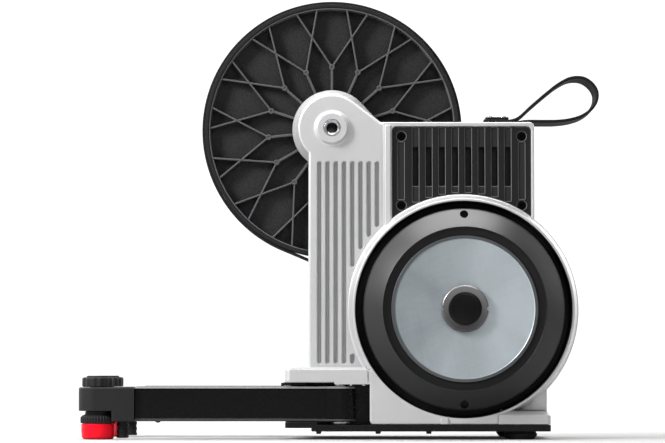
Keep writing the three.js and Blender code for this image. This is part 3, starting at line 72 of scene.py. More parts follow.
def node_span(node):
    """Lowest and highest corner of a CAD node, in millimetres from the three planes."""
    low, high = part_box(node)
    return (np.array(low) - DATUM) / MM, (np.array(high) - DATUM) / MM


def place(points):
    """Millimetres from the three planes as metres in the frame."""
    return np.asarray(points, float) * MM + DATUM


# Driving sizes, in millimetres

AXLE_Z = 340.0
AXLE = (0.0, AXLE_Z)
SPACING = 142.0
BORE = 9.5
TUBE = Sizes(end=61.7, pitch=2.6, turns=47, bore=6.2, groove=7.2, chamfer=8.2, outer=8.5)
END_RING = Sizes(near=9.0, far=13.0, depth=9.0, bore=6.1, mouth=7.3)
FREEHUB = Sizes(near=24.0, far=62.0, radius=17.4, deep=1.9, bore=9.0, grooves=9)
BELT = Sizes(pitch=142.1, ratio=10.0, half=1.5, near=-33.0, far=-13.0)
ARM = Sizes(face=-65.0, back=-40.0, left=-25.9, right=57.3, head=43.7, head_face=34.5, boss=16.1)
TOWER = Sizes(right=221.6, top=346.6, left_corner=53.6, corner=5.0, side=5.0, wall_back=-55.0, back=10.0,
              flare_top=95.0, flare_foot=62.0, flare_right=234.3, band=7.1, band_low=233.0, band_rise=1.5,
              join=300.0, slot=151.0, left_top=190.0, left_inner=187.0)
FLUTE = Sizes(count=8, first=-13.7, pitch=9.03, width=6.4, depth=3.8, top=304.0, foot=81.4, clear=128.5)
DRUM = Sizes(x=143.0, z=141.0, lip=-84.0, inner=118.0, outer=120.5, root=125.3, floor=-60.0)
SPINDLE = (DRUM.x, DRUM.z)
BASE = Sizes(half=84.0, bottom=16.4, left=44.0, column_left=-46.0, column=46.0, plat_left=-51.3, top=78.2,
             under=59.6, front_under=61.7, under_from=2.6, step=2.4, rear=178.0, right=237.5, rear_top=25.9,
             slope_top=32.0, block_left=180.0, rib=122.0, rib_half=4.35, rib_top=23.5, stud_low=58.2,
             studs=(6.0, 20.4, 34.3))
PLATE = Sizes(low=8.7, high=15.8, left=-22.5, pad_left=-51.0, pad=34.0, pad_right=-16.0, pad_low=12.4,
              pad_high=19.1, studs=(-14.5, 50.0, 105.0), stud_in=6.5, stud_low=6.1)
REAR_FOOT = Sizes(x=204.9, y=62.0, radius=18.6)
WHEEL = Sizes(rim=140.55, lip=135.0, near=-36.0, far=-10.0, web_near=-24.0, web_far=-20.0, hub=22.0,
              hub_near=-37.0, hub_far=20.0, bore=15.2, ribs=15, node=70.6, spread=math.radians(17))
FLY = Sizes(outer=109.4, back=-64.0, shoulder=-90.0, front=-112.0, face=88.5, recess=-108.0, seat=-104.0,
            inner=92.0, disc=79.2, nut=25.4, cap=17.9, hole=4.5, hole_circle=102.8, bore=10.4, hub=20.0,
            hub_length=24.0, disc_bore=9.4, nut_bore=14.5, cap_shank=13.6)
GRILLE = Sizes(left=65.4, right=218.2, top=342.0, near=-63.0, back=-60.4, first=91.6, pitch=14.43,
               width=7.0, vent_low=276.5, vent_high=319.5, count=8, layer=1.3, groove_low=244.0,
               groove_top=340.4, recess=5.3, join=260.0)
SIDE_GROOVE = Sizes(away=10.3, low=262.0, high=324.5, width=6.8)
COVER = Sizes(radius=95.0, left_top=200.0, cut=150.0, depth=35.0, margin=20.0, bars=7, pitch=17.0, bar=1.2)
INLET = (-20.0, 120.0)
LEG = Sizes(pivot=8.5, y=66.0, width=30.0, low=19.5, high=57.7, end=-214.2, root=17.0,
            root_left=-6.0, recess=0.8, bevel=1.3, rivet=-189.0, rivet_in=5.5)
CAP = Sizes(left=-275.9, step=-239.1, half=19.0, low=19.6, step_low=30.8, high=56.5, post=-228.1,
            post_low=1.5, post_ribs=3)
FOOT = Sizes(x=-254.8, ring=19.35, ring_top=27.5, ring_low=17.0, pad=18.3, pad_edge=6.5, stem=6.0,
             stem_top=48.0, turns=14, pitch=1.2, knurls=36)
KNOB = Sizes(radius=17.5, low=56.8, high=67.4, disc=12.5, disc_high=69.1, flutes=14, depth=0.9)
TAB = Sizes(left=-55.5, right=-29.5, half=7.0, thick=2.9, lip_right=-52.5, lip_half=6.9, grip_half=5.5,
            grip=0.8, grips=(-50.0, -47.6, -45.2))
STRAP = Sizes(thick=3.2, width=25.0, y=-10.0, left=169.0, right=198.0, reach=297.0, height=49.3, layer=0.3,
              clamp=2.4, head=1.8, screw_in=7.0, margin=1.5, samples=260, shear=(-2.5, 0.0, -2.8))
STRAP_ROUTE_SHARES = ((0.09, 0.13), (0.25, 0.41), (0.41, 0.68), (0.56, 0.91), (0.7, 1.045), (0.84, 1.045),
                      (0.94, 0.92), (0.995, 0.74), (0.99, 0.53), (0.93, 0.34), (0.83, 0.195), (0.7, 0.11),
                      (0.55, 0.07), (0.38, 0.065), (0.17, 0.06))
DISC_NEAR = FLY.seat - GAP - 5.2
NUT_NEAR = DISC_NEAR - GAP - 6.0
BED = BASE.top - BASE.step
RING_MID = (DRUM.inner + DRUM.root) / 2
CLAMP_LOW = TOWER.top + 2 * (GAP + STRAP.thick) + STRAP.layer
HOLE_CENTRES = [(DRUM.x, DRUM.z + side * FLY.hole_circle) for side, _ in SIDES]


# Surfaces on grids

def outward(verts, faces):
    """A closed shell whose signed volume, the sum of its corner tetrahedra, is made positive."""
    verts = np.asarray(verts, float)
    volume = 0.0
    for block in faces:
        for k in range(1, block.shape[1] - 1):
            a, b, c = verts[block[:, 0]], verts[block[:, k]], verts[block[:, k + 1]]
            volume += np.einsum("ij,ij->", a, np.cross(b, c))
    return verts, [block if volume > 0 else block[:, ::-1] for block in faces]


def quads_between(levels, count, closed_levels=False):
    """Quads of a grid of rings: level i, point j to its neighbours in both directions."""
    rows = np.arange(levels if closed_levels else levels - 1)[:, None] * count
    a, b = rows + np.arange(count), rows + (np.arange(count) + 1) % count
    total = count * levels
    return np.stack([a, b, (b + count) % total, (a + count) % total], -1).reshape(-1, 4)


def fans(count, total):
    """Triangles from two poles, numbered after total points, to the first and the last ring."""
    j = np.arange(count)
    k = (j + 1) % count
    last = total - count
    return [np.stack([np.full(count, total), k, j], -1),
            np.stack([np.full(count, total + 1), last + j, last + k], -1)]


def along_axis(axis, u, v, h):
    """Plane coordinates u, v and height h put on the named axis."""
    order = {"Y": (u, h, v), "Z": (u, v, h), "X": (h, u, v)}[axis]
    return np.stack(np.broadcast_arrays(*order), -1)


def turned(rows, centre=(0.0, 0.0), axis="Y", segments=128, wave=None):
    """A profile turned round an axis: radius(level, angle) = r - amount * wave(angle)."""
    rows = np.array([tuple(row) + (0.0,) * (3 - len(row)) for row in rows], float)
    angle = np.arange(segments) * TAU / segments
    ripple = wave(angle) if wave else np.zeros(segments)
    radius = rows[:, 0:1] - rows[:, 2:3] * ripple[None, :]
    u, v = centre[0] + radius * np.cos(angle), centre[1] + radius * np.sin(angle)
    points = along_axis(axis, u, v, rows[:, 1:2])
    if rows[0, 0] > 0:
        return outward(points.reshape(-1, 3), [quads_between(len(rows), segments, True)])
    body = points[1:-1].reshape(-1, 3)
    faces = [quads_between(len(rows) - 2, segments), *fans(segments, len(body))]
    return outward(np.concatenate([body, points[[0, -1], 0]]), faces)


def rounded(points, steps=5, closed=True):
    """An outline whose corners (u, v, radius) become arcs between their two tangent points."""
    out = []
    count = len(points)
    for i, point in enumerate(points):
        p = np.array(point[:2], float)
        r = point[2] if len(point) > 2 else 0.0
        if r <= 0 or (not closed and i in (0, count - 1)):
            out.append(p)
            continue
        a = np.array(points[i - 1][:2], float) - p
        b = np.array(points[(i + 1) % count][:2], float) - p
        la, lb = np.linalg.norm(a), np.linalg.norm(b)
        a, b = a / la, b / lb
        half = math.acos(float(np.clip(a @ b, -1, 1))) / 2
        if half > math.radians(89):
            out.append(p)
            continue
        reach = min(r / math.tan(half), 0.48 * la, 0.48 * lb)
        r = reach * math.tan(half)
        middle = p + (a + b) / np.linalg.norm(a + b) * (r / math.sin(half))
        start, end = p + a * reach - middle, p + b * reach - middle
        turn = math.atan2(start[0] * end[1] - start[1] * end[0], float(start @ end))
        first = math.atan2(start[1], start[0])
        for k in range(steps + 1):
            t = first + turn * k / steps
            out.append(middle + r * np.array([math.cos(t), math.sin(t)]))
    return np.array(out)


def panel(left, low, right, high, *radii, steps=5):
    """A rectangle with one rounding for all corners, or four from the lower left anticlockwise."""
    radii = radii * 4 if len(radii) == 1 else radii or (0.0,) * 4
    corners = ((left, low), (right, low), (right, high), (left, high))
    return rounded([(*corner, r) for corner, r in zip(corners, radii)], steps)


def arc(centre, radius, start, end, steps):
    """Points at even angles on part of a circle."""
    t = np.linspace(start, end, steps + 1)
    return np.stack([centre[0] + radius * np.cos(t), centre[1] + radius * np.sin(t)], -1)


def circle(centre, radius, steps):
    """A whole circle of that many points."""
    return arc(centre, radius, 0.0, TAU, steps)[:-1]


def stadium(x, low, high, width):
    """An upright slot: two half circles joined by straight sides."""
    r = width / 2
    return np.concatenate([arc((x, high - r), r, 0, math.pi, 8), arc((x, low + r), r, math.pi, TAU, 8)])


def turn_left(loop):
    """The loop run anticlockwise, judged by its signed area."""
    u, v = loop[:, 0], loop[:, 1]
    return loop if np.sum(u * np.roll(v, -1) - v * np.roll(u, -1)) > 0 else loop[::-1]


def inset(loop, depth):
    """Each corner moved along its mitre by depth, to the left of the path."""
    edge = np.roll(loop, -1, 0) - loop
    edge /= np.maximum(np.linalg.norm(edge, axis=1, keepdims=True), 1e-9)
    normal = np.stack([-edge[:, 1], edge[:, 0]], -1)
    back = np.roll(normal, 1, 0)
    mitre = (normal + back) / np.maximum(1 + np.sum(normal * back, 1, keepdims=True), 0.3)
    return loop + mitre * depth


def soft(low, high, soft_low=0.0, soft_high=0.0, steps=4):
    """Levels (height, inset) of a body with rounded ends: at angle t of the quarter circle a level
    lies r * (1 - cos t) from the end and is drawn in by r * (1 - sin t)."""
    t = np.linspace(0, QUARTER, steps + 1)
    foot = np.stack([low + soft_low * (1 - np.cos(t)), soft_low * (1 - np.sin(t))], -1)
    head = np.stack([high - soft_high * (1 - np.cos(t)), soft_high * (1 - np.sin(t))], -1)[::-1]
    return np.concatenate([foot if soft_low > 0 else foot[:1], head if soft_high > 0 else head[-1:]])


def prism(outer, levels, axis="Y", holes=(), hole_share=1.0):
    """An outline with holes carried along an axis through levels (height, inset, growth): on each
    level the outline, or that level's own outline, is drawn in by the inset along its mitres, and
    the holes grow by the growth, or by a share of the inset where none is given."""
    levels = np.asarray(levels, float)
    if levels.shape[1] == 2:
        levels = np.column_stack([levels, levels[:, 1] * hole_share])
    stack = outer if np.ndim(outer) == 3 else [outer] * len(levels)
    loops = [[turn_left(np.asarray(one, float)) for one in stack]]
    loops += [[turn_left(np.asarray(hole, float))[::-1]] * len(levels) for hole in holes]
    verts, quads, caps = [], [], ([], [])
    start = 0
    for number, stack in enumerate(loops):
        pulls = levels[:, 2] if number else levels[:, 1]
        points = np.array([inset(loop, pull) for loop, pull in zip(stack, pulls)])
        count = points.shape[1]
        verts.append(along_axis(axis, points[..., 0], points[..., 1], levels[:, 0:1]).reshape(-1, 3))
        quads.append(quads_between(len(levels), count) + start)
        for end, level in enumerate((0, len(levels) - 1)):
            caps[end].append((points[level], start + level * count))
        start += len(levels) * count
    faces = [np.concatenate(quads)]
    for cap, wanted in zip(caps, (-1, 1)):
        flat = [[Vector((*p, 0)) for p in loop] for loop, _ in cap]
        index = np.concatenate([first + np.arange(len(loop)) for loop, first in cap])
        tris = np.array(tessellate_polygon(flat), int)
        corner = np.concatenate([loop for loop, _ in cap])[tris]
        e1, e2 = corner[:, 1] - corner[:, 0], corner[:, 2] - corner[:, 0]
        area = e1[:, 0] * e2[:, 1] - e1[:, 1] * e2[:, 0]
        tris = np.where((area * wanted < 0)[:, None], tris[:, ::-1], tris)
        faces.append(index[tris])
    return outward(np.concatenate(verts), faces)


def swept(centres, across, up, section):
    """A section carried along a path: centre + across * a + up * b for each section point (a, b)."""
    points = centres[:, None] + across[:, None] * section[None, :, :1] + up[:, None] * section[None, :, 1:]
    count = len(section)
    verts = np.concatenate([points.reshape(-1, 3), points[0].mean(0)[None], points[-1].mean(0)[None]])
    return outward(verts, [quads_between(len(centres), count), *fans(count, len(centres) * count)])


def lathe(profile, centre=(0.0, 0.0), axis="Y", segments=160, steps=4):
    """Corners (radius, height, rounding) turned round an axis, each rounded by an arc first."""
    return turned(rounded(profile, steps, closed=profile[0][0] > 0), centre, axis, segments)


def comb(count):
    """A wave from 0 to 1 with that many soft dips round the circle."""
    return lambda angle: 0.5 - 0.5 * np.cos(count * angle)


def teeth(count, share, edge):
    """A wave that is 1 over that share of each period and 0 elsewhere, with steep flanks."""
    return lambda angle: 1 / (1 + np.exp(-edge * (np.cos(count * angle) - math.cos(math.pi * share))))


def hexagon(angle):
    """How far a regular hexagon lies inside its corner circle, as a share of the radius."""
    return 1 - math.cos(math.pi / 6) / np.cos(angle % (math.pi / 3) - math.pi / 6)


# Objects

def merged(shells):
    """The points of closed shells as metres in the frame, and their faces numbered on."""
    faces, start = [], 0
    for points, blocks in shells:
        for block in blocks:
            faces += (block + start).tolist()
        start += len(points)
    return place(np.concatenate([points for points, _ in shells])).tolist(), faces


def add_object(name, data):
    """An object with that data, linked into the scene."""
    item = bpy.data.objects.new(name, data)
    bpy.context.scene.collection.objects.link(item)
    return item


def build(name, shells, material, node, slot, body="frame", crease=CREASE, weighted=True):
    """One object from closed shells; edges sharper than the crease angle stay sharp."""
    points, faces = merged(shells)
    mesh = bpy.data.meshes.new(name)
    mesh.from_pydata(points, [], faces)
    mesh.validate()
    mesh.polygons.foreach_set("use_smooth", np.ones(len(mesh.polygons), bool))
    mesh.set_sharp_from_angle(angle=math.radians(crease))
    mesh.materials.append(material)
    piece = add_object(name, mesh)
    if weighted:
        normals = piece.modifiers.new("even_normals", "WEIGHTED_NORMAL")
        normals.keep_sharp = True
    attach(piece, body)
    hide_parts(node)
    return piece


def drill(piece, cutters):
    """Takes the cutters' shells out of a piece's mesh."""
    points, faces = merged(cutters)
    tool = add_object("cutter", bpy.data.meshes.new("cutter"))
    tool.data.from_pydata(points, [], faces)
    cut = piece.modifiers.new("drill", "BOOLEAN")
    cut.operation, cut.solver, cut.object = "DIFFERENCE", "EXACT", tool
    piece.modifiers.move(len(piece.modifiers) - 1, 0)
    graph = bpy.context.evaluated_depsgraph_get()
    mesh = bpy.data.meshes.new_from_object(piece.evaluated_get(graph))
    piece.modifiers.clear()
    old, piece.data = piece.data, mesh
    bpy.data.meshes.remove(old)
    old = tool.data
    bpy.data.objects.remove(tool)
    bpy.data.meshes.remove(old)
    mesh.set_sharp_from_angle(angle=math.radians(CREASE))


def dress(material, *nodes):
    """A CAD node keeps its shape and takes a finish."""
    for node in nodes:
        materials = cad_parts[node].data.materials
        materials.clear()
        materials.append(material)


# Shader maths

def feed(tree, socket, value):
    """Links a shader value to a socket, or sets a number or a colour on it."""
    if isinstance(value, Sum):
        tree.links.new(value.socket, socket)
    else:
        socket.default_value = value


def maths(operation, swap=False):
    """A method that adds a Math node on the value and its operands, swapped if need be."""
    def method(self, *others):
        node = self.tree.nodes.new("ShaderNodeMath")
        node.operation = operation
        for socket, value in zip(node.inputs, (*others, self) if swap else (self, *others)):
            feed(self.tree, socket, value)
        return Sum(self.tree, node.outputs[0])
    return method


class Sum:
    """A shader value: Python's operators on it add the matching Math nodes."""

    def __init__(self, tree, socket):
        self.tree, self.socket = tree, socket

    __add__ = __radd__ = maths("ADD")
    __sub__ = maths("SUBTRACT")
    __rsub__ = maths("SUBTRACT", swap=True)
    __mul__ = __rmul__ = maths("MULTIPLY")
    __truediv__ = maths("DIVIDE")
    __pow__ = maths("POWER")
    __gt__ = maths("GREATER_THAN")
    __lt__ = maths("LESS_THAN")
    sine = maths("SINE")
    size = maths("ABSOLUTE")
    root = maths("SQRT")
    at_least = maths("MAXIMUM")
    at_most = maths("MINIMUM")

    def clip(self):
        """Held between 0 and 1."""
        return self.at_least(0.0).at_most(1.0)

    def between(self, low, high):
        """1 where the value lies between the two, otherwise 0."""
        return (self > low) * (self < high)


class Finish:
    """A material under construction, with short ways to its nodes."""

    def __init__(self, name, color, roughness, metallic=0.0, **settings):
        self.material = bpy.data.materials.new(name)
        self.material.use_nodes = True
        self.tree = self.material.node_tree
        self.shader = self.tree.nodes["Principled BSDF"]
        settings.update(base_color=(*color, 1), roughness=roughness, metallic=metallic)
        for key, value in settings.items():
            self.shader.inputs[key.replace("_", " ").title().replace("Ior", "IOR")].default_value = value
        self.color = color
        self.spot = self.node("ShaderNodeTexCoord", "Object")

    def node(self, kind, output="", setup=None, **inputs):
        """An output of a new node: its settings come first, then values or links of its sockets."""
        node = self.tree.nodes.new(kind)
        for key, value in (setup or {}).items():
            setattr(node, key, value)
        sockets = {socket.name: socket for socket in node.inputs if socket.enabled}
        for key, value in inputs.items():
            feed(self.tree, sockets[key], value)
        outputs = [out for out in node.outputs if out.enabled and output in ("", out.name)]
        return Sum(self.tree, outputs[0])

    def axes(self):
        """x, y and z of the object coordinates, in metres."""
        return [self.node("ShaderNodeSeparateXYZ", axis, Vector=self.spot) for axis in "XYZ"]

    def point(self, x, y, z):
        """A vector made of three values."""
        return self.node("ShaderNodeCombineXYZ", X=x, Y=y, Z=z)

    def noise(self, scale, detail=3.0, rough=0.55, spot=None):
        """Soft noise from 0 to 1 at that scale, at the object's own point or another one."""
        return self.node("ShaderNodeTexNoise", Vector=spot or self.spot, Scale=scale, Detail=detail,
                         Roughness=rough)

    def cells(self, scale):
        """Distance to the nearest of scattered points."""
        return self.node("ShaderNodeTexVoronoi", "Distance", {"feature": "F1"}, Vector=self.spot,
                         Scale=scale)

    def blend(self, share, a, b):
        """Colour a where share is 0 and b where it is 1."""
        a, b = (value if isinstance(value, Sum) else (*value, 1) for value in (a, b))
        return self.node("ShaderNodeMix", setup={"data_type": "RGBA"}, Factor=share, A=a, B=b)

    def link(self, value, name):
        self.tree.links.new(value.socket, self.shader.inputs[name])

    def tint(self, color):
        self.link(color, "Base Color")

    def tone(self, share):
        """The base colour times a share, or times one share for each channel."""
        return tuple(min(c * s, 1.0) for c, s in zip(self.color, np.broadcast_to(share, 3).tolist()))

    def shade(self, share, low, high):
        """The base colour from low to high times itself, by share."""
        self.tint(self.blend(share, self.tone(low), self.tone(high)))

    def polish(self, roughness):
        self.link(roughness.clip(), "Roughness")

    def relief(self, height, strength, distance):
        """Bumps by a value from 0 to 1, as high in metres as the distance."""
        bump = self.node("ShaderNodeBump", Height=height, Strength=strength, Distance=distance)
        self.link(bump, "Normal")

    def radius_from(self, axis):
        """Distance from a line along Y through (x, z), given in millimetres from the planes."""
        x, _, z = self.axes()
        centre = place((axis[0], 0.0, axis[1]))
        return ((x - centre[0]) ** 2.0 + (z - centre[2]) ** 2.0).root()

    def ripple(self, axis, pitch):
        """A sine wave along x, y or z, numbered 0, 1 and 2, pitch in metres."""
        return (self.axes()[axis] * (TAU / pitch)).sine()

    def lines(self, radius, scale, detail=3, rough=0.6):
        """Fine concentric marks: noise of the radius times the scale."""
        return self.noise(1.0, detail, rough, self.point(radius * scale, 0.0, 0.0))


FINISHES = {}


def finish(maker):
    """Each finish is made once and shared by the pieces that have it."""
    def made():
        if maker.__name__ not in FINISHES:
            FINISHES[maker.__name__] = maker().material
        return FINISHES[maker.__name__]
    return made


def colour(name):
    """One of the colours that a user can change."""
    return tuple(getattr(bpy.context.scene.trainer_colours, name))


@finish
def cast_silver():
    """Silver powder coat: fine grain, a little cloudiness, a slightly rubbed sheen, and painted shade that
    darkens the flute floors.
    """
    coat = Finish("cast_silver", colour("silver"), 0.42, 0.45, coat_weight=0.12, coat_roughness=0.35)
    grain, cloud = coat.noise(1500, 2), coat.noise(9, 3)
    x, y, z = coat.axes()
    left, face, low = place((ARM.left + 6.0, ARM.face, FLUTE.foot - 4.0))
    right, _, high = place((ARM.right - 5.0, 0.0, FLUTE.top + 4.0))
    depth = (y - face) * (1.0 / MM)
    # Painted shade: on the arm, flute floors deeper than 1.6 mm blend to a darker tone, standing in for the
    # shadow in the grooves.
    painted_flute_shade = ((depth - 1.6) * 0.6).clip() * (depth < 4.5) * x.between(left, right) * z.between(low, high)
    base_tone = coat.blend(grain * 0.55 + cloud * 0.45, coat.tone(0.86), coat.tone(1.12))
    coat.tint(coat.blend(painted_flute_shade, base_tone, coat.tone(0.62)))
    coat.polish(grain * 0.14 + cloud * 0.08 + 0.31)
    coat.relief(grain + coat.noise(420, 2) * 0.7, 0.12, 0.0004)
    return coat


@finish
def satin_black():
    """Black paint on metal: faint orange peel and a soft sheen."""
    coat = Finish("satin_black", colour("black_paint"), 0.32, specular_ior_level=0.2, coat_weight=0.03,
                  coat_roughness=0.2)
    peel = coat.noise(260, 3)
    coat.shade(coat.noise(14, 3), 0.75, 1.3)
    coat.polish(peel * 0.14 + 0.22)
    coat.relief(peel, 0.12, 0.0006)
    return coat


@finish
def leg_black():
    """Painted tube: painted highlights as paler bands along the upper edge and, fainter, the lower one, and
    painted shade as dark lines in the steps beside them.
    """
    coat = Finish("leg_black", colour("black_paint"), 0.3, specular_ior_level=0.11)
    z = coat.axes()[2]
    high, low = LEG.high * MM, LEG.low * MM
    # Painted highlight: paler bands along the upper edge and, fainter, along the lower edge.
    painted_edge_highlight = z.between(high - 2.5 * MM, high - 0.25 * MM) + z.between(low + 0.4 * MM, low + 2.6 * MM) * 0.3
    # Painted shade: near-black lines in the steps beside those bands.
    step = z.between(high - 4.0 * MM, high - 2.6 * MM) + z.between(low + 2.8 * MM, low + 3.8 * MM)
    plain = coat.blend(coat.noise(14, 3), coat.tone(0.85), coat.tone(1.2))
    deep = coat.blend(step, plain, (0.001, 0.001, 0.001))
    coat.tint(coat.blend(painted_edge_highlight.clip(), deep, (0.2, 0.2, 0.203)))
    coat.polish(coat.noise(260, 3) * 0.05 + 0.25)
    coat.relief(coat.noise(50, 2), 0.02, 0.0004)
    return coat


@finish
def moulded_black():
    """Moulded plastic with spark eroded grain."""
    skin = Finish("moulded_black", colour("black_plastic"), 0.5, specular_ior_level=0.2)
    grain = skin.noise(1300, 2, 0.6)
    skin.shade(grain * 0.6 + skin.noise(25, 3) * 0.4, 0.72, 1.32)
    skin.polish(grain * 0.2 + 0.43)
    skin.relief(grain, 0.3, 0.0005)
    return skin


@finish
def grille_plastic():
    """Ribbed panel: bars, groove floors painted slightly paler as painted light, painted highlights on the
    rounded edges and along the vents' lower sills, and painted shade dark inside the vents.
    """
    skin = Finish("grille_plastic", colour("black_plastic"), 0.45, specular_ior_level=0.16)
    x, y, z = skin.axes()
    left, near, low = place((GRILLE.left + 18.0, GRILLE.near, GRILLE.vent_low))
    right = place((GRILLE.right - 18.0, 0.0, 0.0))[0]
    depth = (y - near) * (1.0 / MM)
    groove = depth > 1.1
    # Painted highlight: a pale line on the groove floor along each vent's lower edge.
    sill = z.between(low - 0.8 * MM, low + 1.0 * MM) * x.between(left, right)
    grain = skin.noise(1300, 2, 0.6)
    bars = skin.blend(grain, (0.007, 0.007, 0.008), (0.014, 0.014, 0.015))
    # Painted light: groove floors paler than the bars. Painted shade: near black inside the vents, deeper
    # than 1.45 mm.
    floor = skin.blend(grain, (0.014, 0.014, 0.015), (0.024, 0.024, 0.025))
    floor = skin.blend(depth > 1.45, floor, (0.001, 0.001, 0.001))
    foot = skin.blend(sill * groove, floor, (0.12, 0.12, 0.12))
    # Painted highlight: pale rounded edges between 0.04 and 0.95 mm deep.
    skin.tint(skin.blend(depth.between(0.04, 0.95), skin.blend(groove, bars, foot), (0.13, 0.13, 0.13)))
    skin.polish(grain * 0.2 + 0.36)
    skin.relief(grain, 0.3, 0.0005)
    return skin


@finish
def wheel_plastic():
    """The wheel: a rough dark web, smoother rib crests painted paler as a painted sheen, told apart by
    depth, and a dark rim with a painted highlight line at its lip.
    """
    skin = Finish("wheel_plastic", (0.018, 0.018, 0.02), 0.6, specular_ior_level=0.3)
    crest = place((0.0, WHEEL.web_near - 7.0, 0.0))[1]
    radius = skin.radius_from(AXLE)
    share = ((crest - skin.axes()[1]) * 900.0).clip() * (radius < (WHEEL.lip - 0.2) * MM)
    grain = skin.noise(520, 4, 0.65)
    coarse = ((grain - 0.5) * 2.2 + 0.5).clip()
    web = skin.blend(coarse, (0.002, 0.002, 0.0025), (0.021, 0.021, 0.022))
    # Painted highlight: rib crests paler than the web, standing in for their sheen.
    rib = skin.blend(grain, (0.045, 0.045, 0.048), (0.09, 0.09, 0.094))
    # Painted highlight: a pale line round the rim's lip.
    inner, outer = (WHEEL.lip - 0.4) * MM, (WHEEL.lip + 1.1) * MM
    dark_rim_and_painted_lip_line = skin.blend(radius.between(inner, outer), (0.003, 0.003, 0.0035), (0.085, 0.085, 0.09))
    skin.tint(skin.blend(radius > inner, skin.blend(share, web, rib), dark_rim_and_painted_lip_line))
    skin.polish(0.62 - share * 0.18 + grain * 0.1)
    skin.relief(grain * (1.15 - share), 0.5, 0.0009)
    return skin


@finish
def turned_iron():
    """Dark coated iron with fine concentric tool marks round the flywheel axis, painted lighter towards the
    top as painted light, and dark in the two balance holes as painted shade.
    """
    metal = Finish("turned_iron", colour("iron"), 0.4, 0.6)
    radius = metal.radius_from(SPINDLE)
    marks = metal.lines(radius, 2600.0, 4, 0.7)
    band = (((FLY.face - 0.1) * MM - radius) * 4000.0).clip()
    rim = ((radius - (FLY.outer - 1.6) * MM) * 3000.0).clip()
    # Painted shade: the insides of the two balance holes are dark.
    painted_hole_shade = [metal.radius_from(centre) < (FLY.hole - 0.2) * MM for centre in HOLE_CENTRES]
    # Painted light: the face is lighter towards the top and darker towards the bottom.
    rise = (metal.axes()[2] - DRUM.z * MM) * (1000.0 / FLY.outer) * 0.5 + 0.5
    tone = (marks * 0.25 + metal.noise(12, 3) * 0.35 + rise * 0.8 - 0.2).clip()
    face = metal.blend(tone, metal.tone(0.5), metal.tone(1.3))
    dark = metal.blend(tone, (0.006, 0.006, 0.006), (0.014, 0.014, 0.014))
    metal.tint(metal.blend((band + rim + painted_hole_shade[0] + painted_hole_shade[1]).clip(), face, dark))
    metal.polish(marks * 0.18 + 0.33)
    metal.relief(marks, 0.14, 0.0003)
    return metal


@finish
def recess_black():
    """Matt black with fine concentric marks round the flywheel axis, on the axle's tube and the dish's
    liner.
    """
    metal = Finish("recess_black", (0.006, 0.006, 0.006), 0.6, specular_ior_level=0.2)
    marks = metal.lines(metal.radius_from(SPINDLE), 1800.0)
    metal.shade(marks, 0.7, 1.35)
    metal.polish(marks * 0.2 + 0.42)
    metal.relief(marks, 0.1, 0.0003)
    return metal


@finish
def zinc_plate():
    """Zinc plated sheet: bluish haze, wide sweeps round the axis as painted reflection, darker to the left
    and paler to the right as painted light, fine rub marks and small nicks.
    """
    metal = Finish("zinc_plate", colour("zinc"), 0.4, 0.6)
    x, y, z = metal.axes()
    haze = metal.noise(16, 4, 0.6)
    streak_a = metal.noise(1.0, 4, 0.7, metal.point(x * 420.0 + z * 90.0, y, z * 14.0 - x * 5.0))
    streak_b = metal.noise(1.0, 4, 0.7, metal.point(x * 12.0, y, z * 380.0 - x * 160.0))
    radius = metal.radius_from(SPINDLE)
    centre = place((DRUM.x, 0.0, DRUM.z))
    across, up = (x - centre[0]) / radius, (z - centre[2]) / radius
    # Painted reflection: broad lighter and darker sweeps by angle round the axis, standing in for the
    # sheet's reflections.
    painted_reflection_sweep = metal.noise(1.0, 3, 0.6, metal.point(across * 1.3, 0.0, up * 1.3))
    nicks = metal.cells(95) < 0.05
    tone = painted_reflection_sweep * 0.4 + haze * 0.35 + streak_a * 0.15 + streak_b * 0.15 + nicks * 0.2
    # Painted light: the sheet is darker towards the left and paler towards the right.
    tone = ((tone - 0.5) * 1.5 + across * 0.42 + 0.5).clip()
    sheet = metal.blend(tone, metal.tone((0.62, 0.63, 0.64)), metal.tone(1.2))
    rim = ((radius - (FLY.disc - 3.7) * MM) * 4000.0).clip()
    metal.tint(metal.blend(rim, sheet, (0.09, 0.095, 0.1)))
    metal.polish(haze * 0.22 + streak_a * 0.16 + 0.24)
    metal.relief(streak_a + streak_b + metal.lines(radius, 900.0, 2, 0.5) * 0.5, 0.08, 0.0002)
    return metal


@finish
def gunmetal():
    """Blackened steel nut with concentric turning marks, painted lighter towards the top as painted light.
    """
    metal = Finish("gunmetal", (0.2, 0.196, 0.196), 0.3, 0.9)
    marks = metal.lines(metal.radius_from(SPINDLE), 3200.0, 3, 0.7)
    # Painted light: lighter towards the top, darker towards the bottom.
    rise = ((metal.axes()[2] - DRUM.z * MM) * (1000.0 / FLY.nut) * 0.6 + 0.55).clip()
    metal.shade((marks * 0.5 + rise * 0.8 - 0.15).clip(), 0.3, 1.6)
    metal.polish(marks * 0.2 + 0.24)
    metal.relief(marks, 0.2, 0.0002)
    return metal


@finish
def cap_black():
    """Smooth black plastic with faint turning marks."""
    skin = Finish("cap_black", (0.004, 0.004, 0.0045), 0.35, specular_ior_level=0.12)
    marks = skin.lines(skin.radius_from(SPINDLE), 2000.0)
    skin.shade(marks * 0.5 + skin.noise(60, 3) * 0.5, 0.6, 1.7)
    skin.polish(marks * 0.14 + 0.26)
    skin.relief(marks, 0.08, 0.0002)
    return skin


@finish
def recessed_black():
    """Small screws sunk in the panel: dull black with a faint grain."""
    metal = Finish("recessed_black", (0.0012, 0.0012, 0.0013), 0.75, specular_ior_level=0.03)
    metal.shade(metal.noise(900, 2), 0.8, 1.3)
    return metal


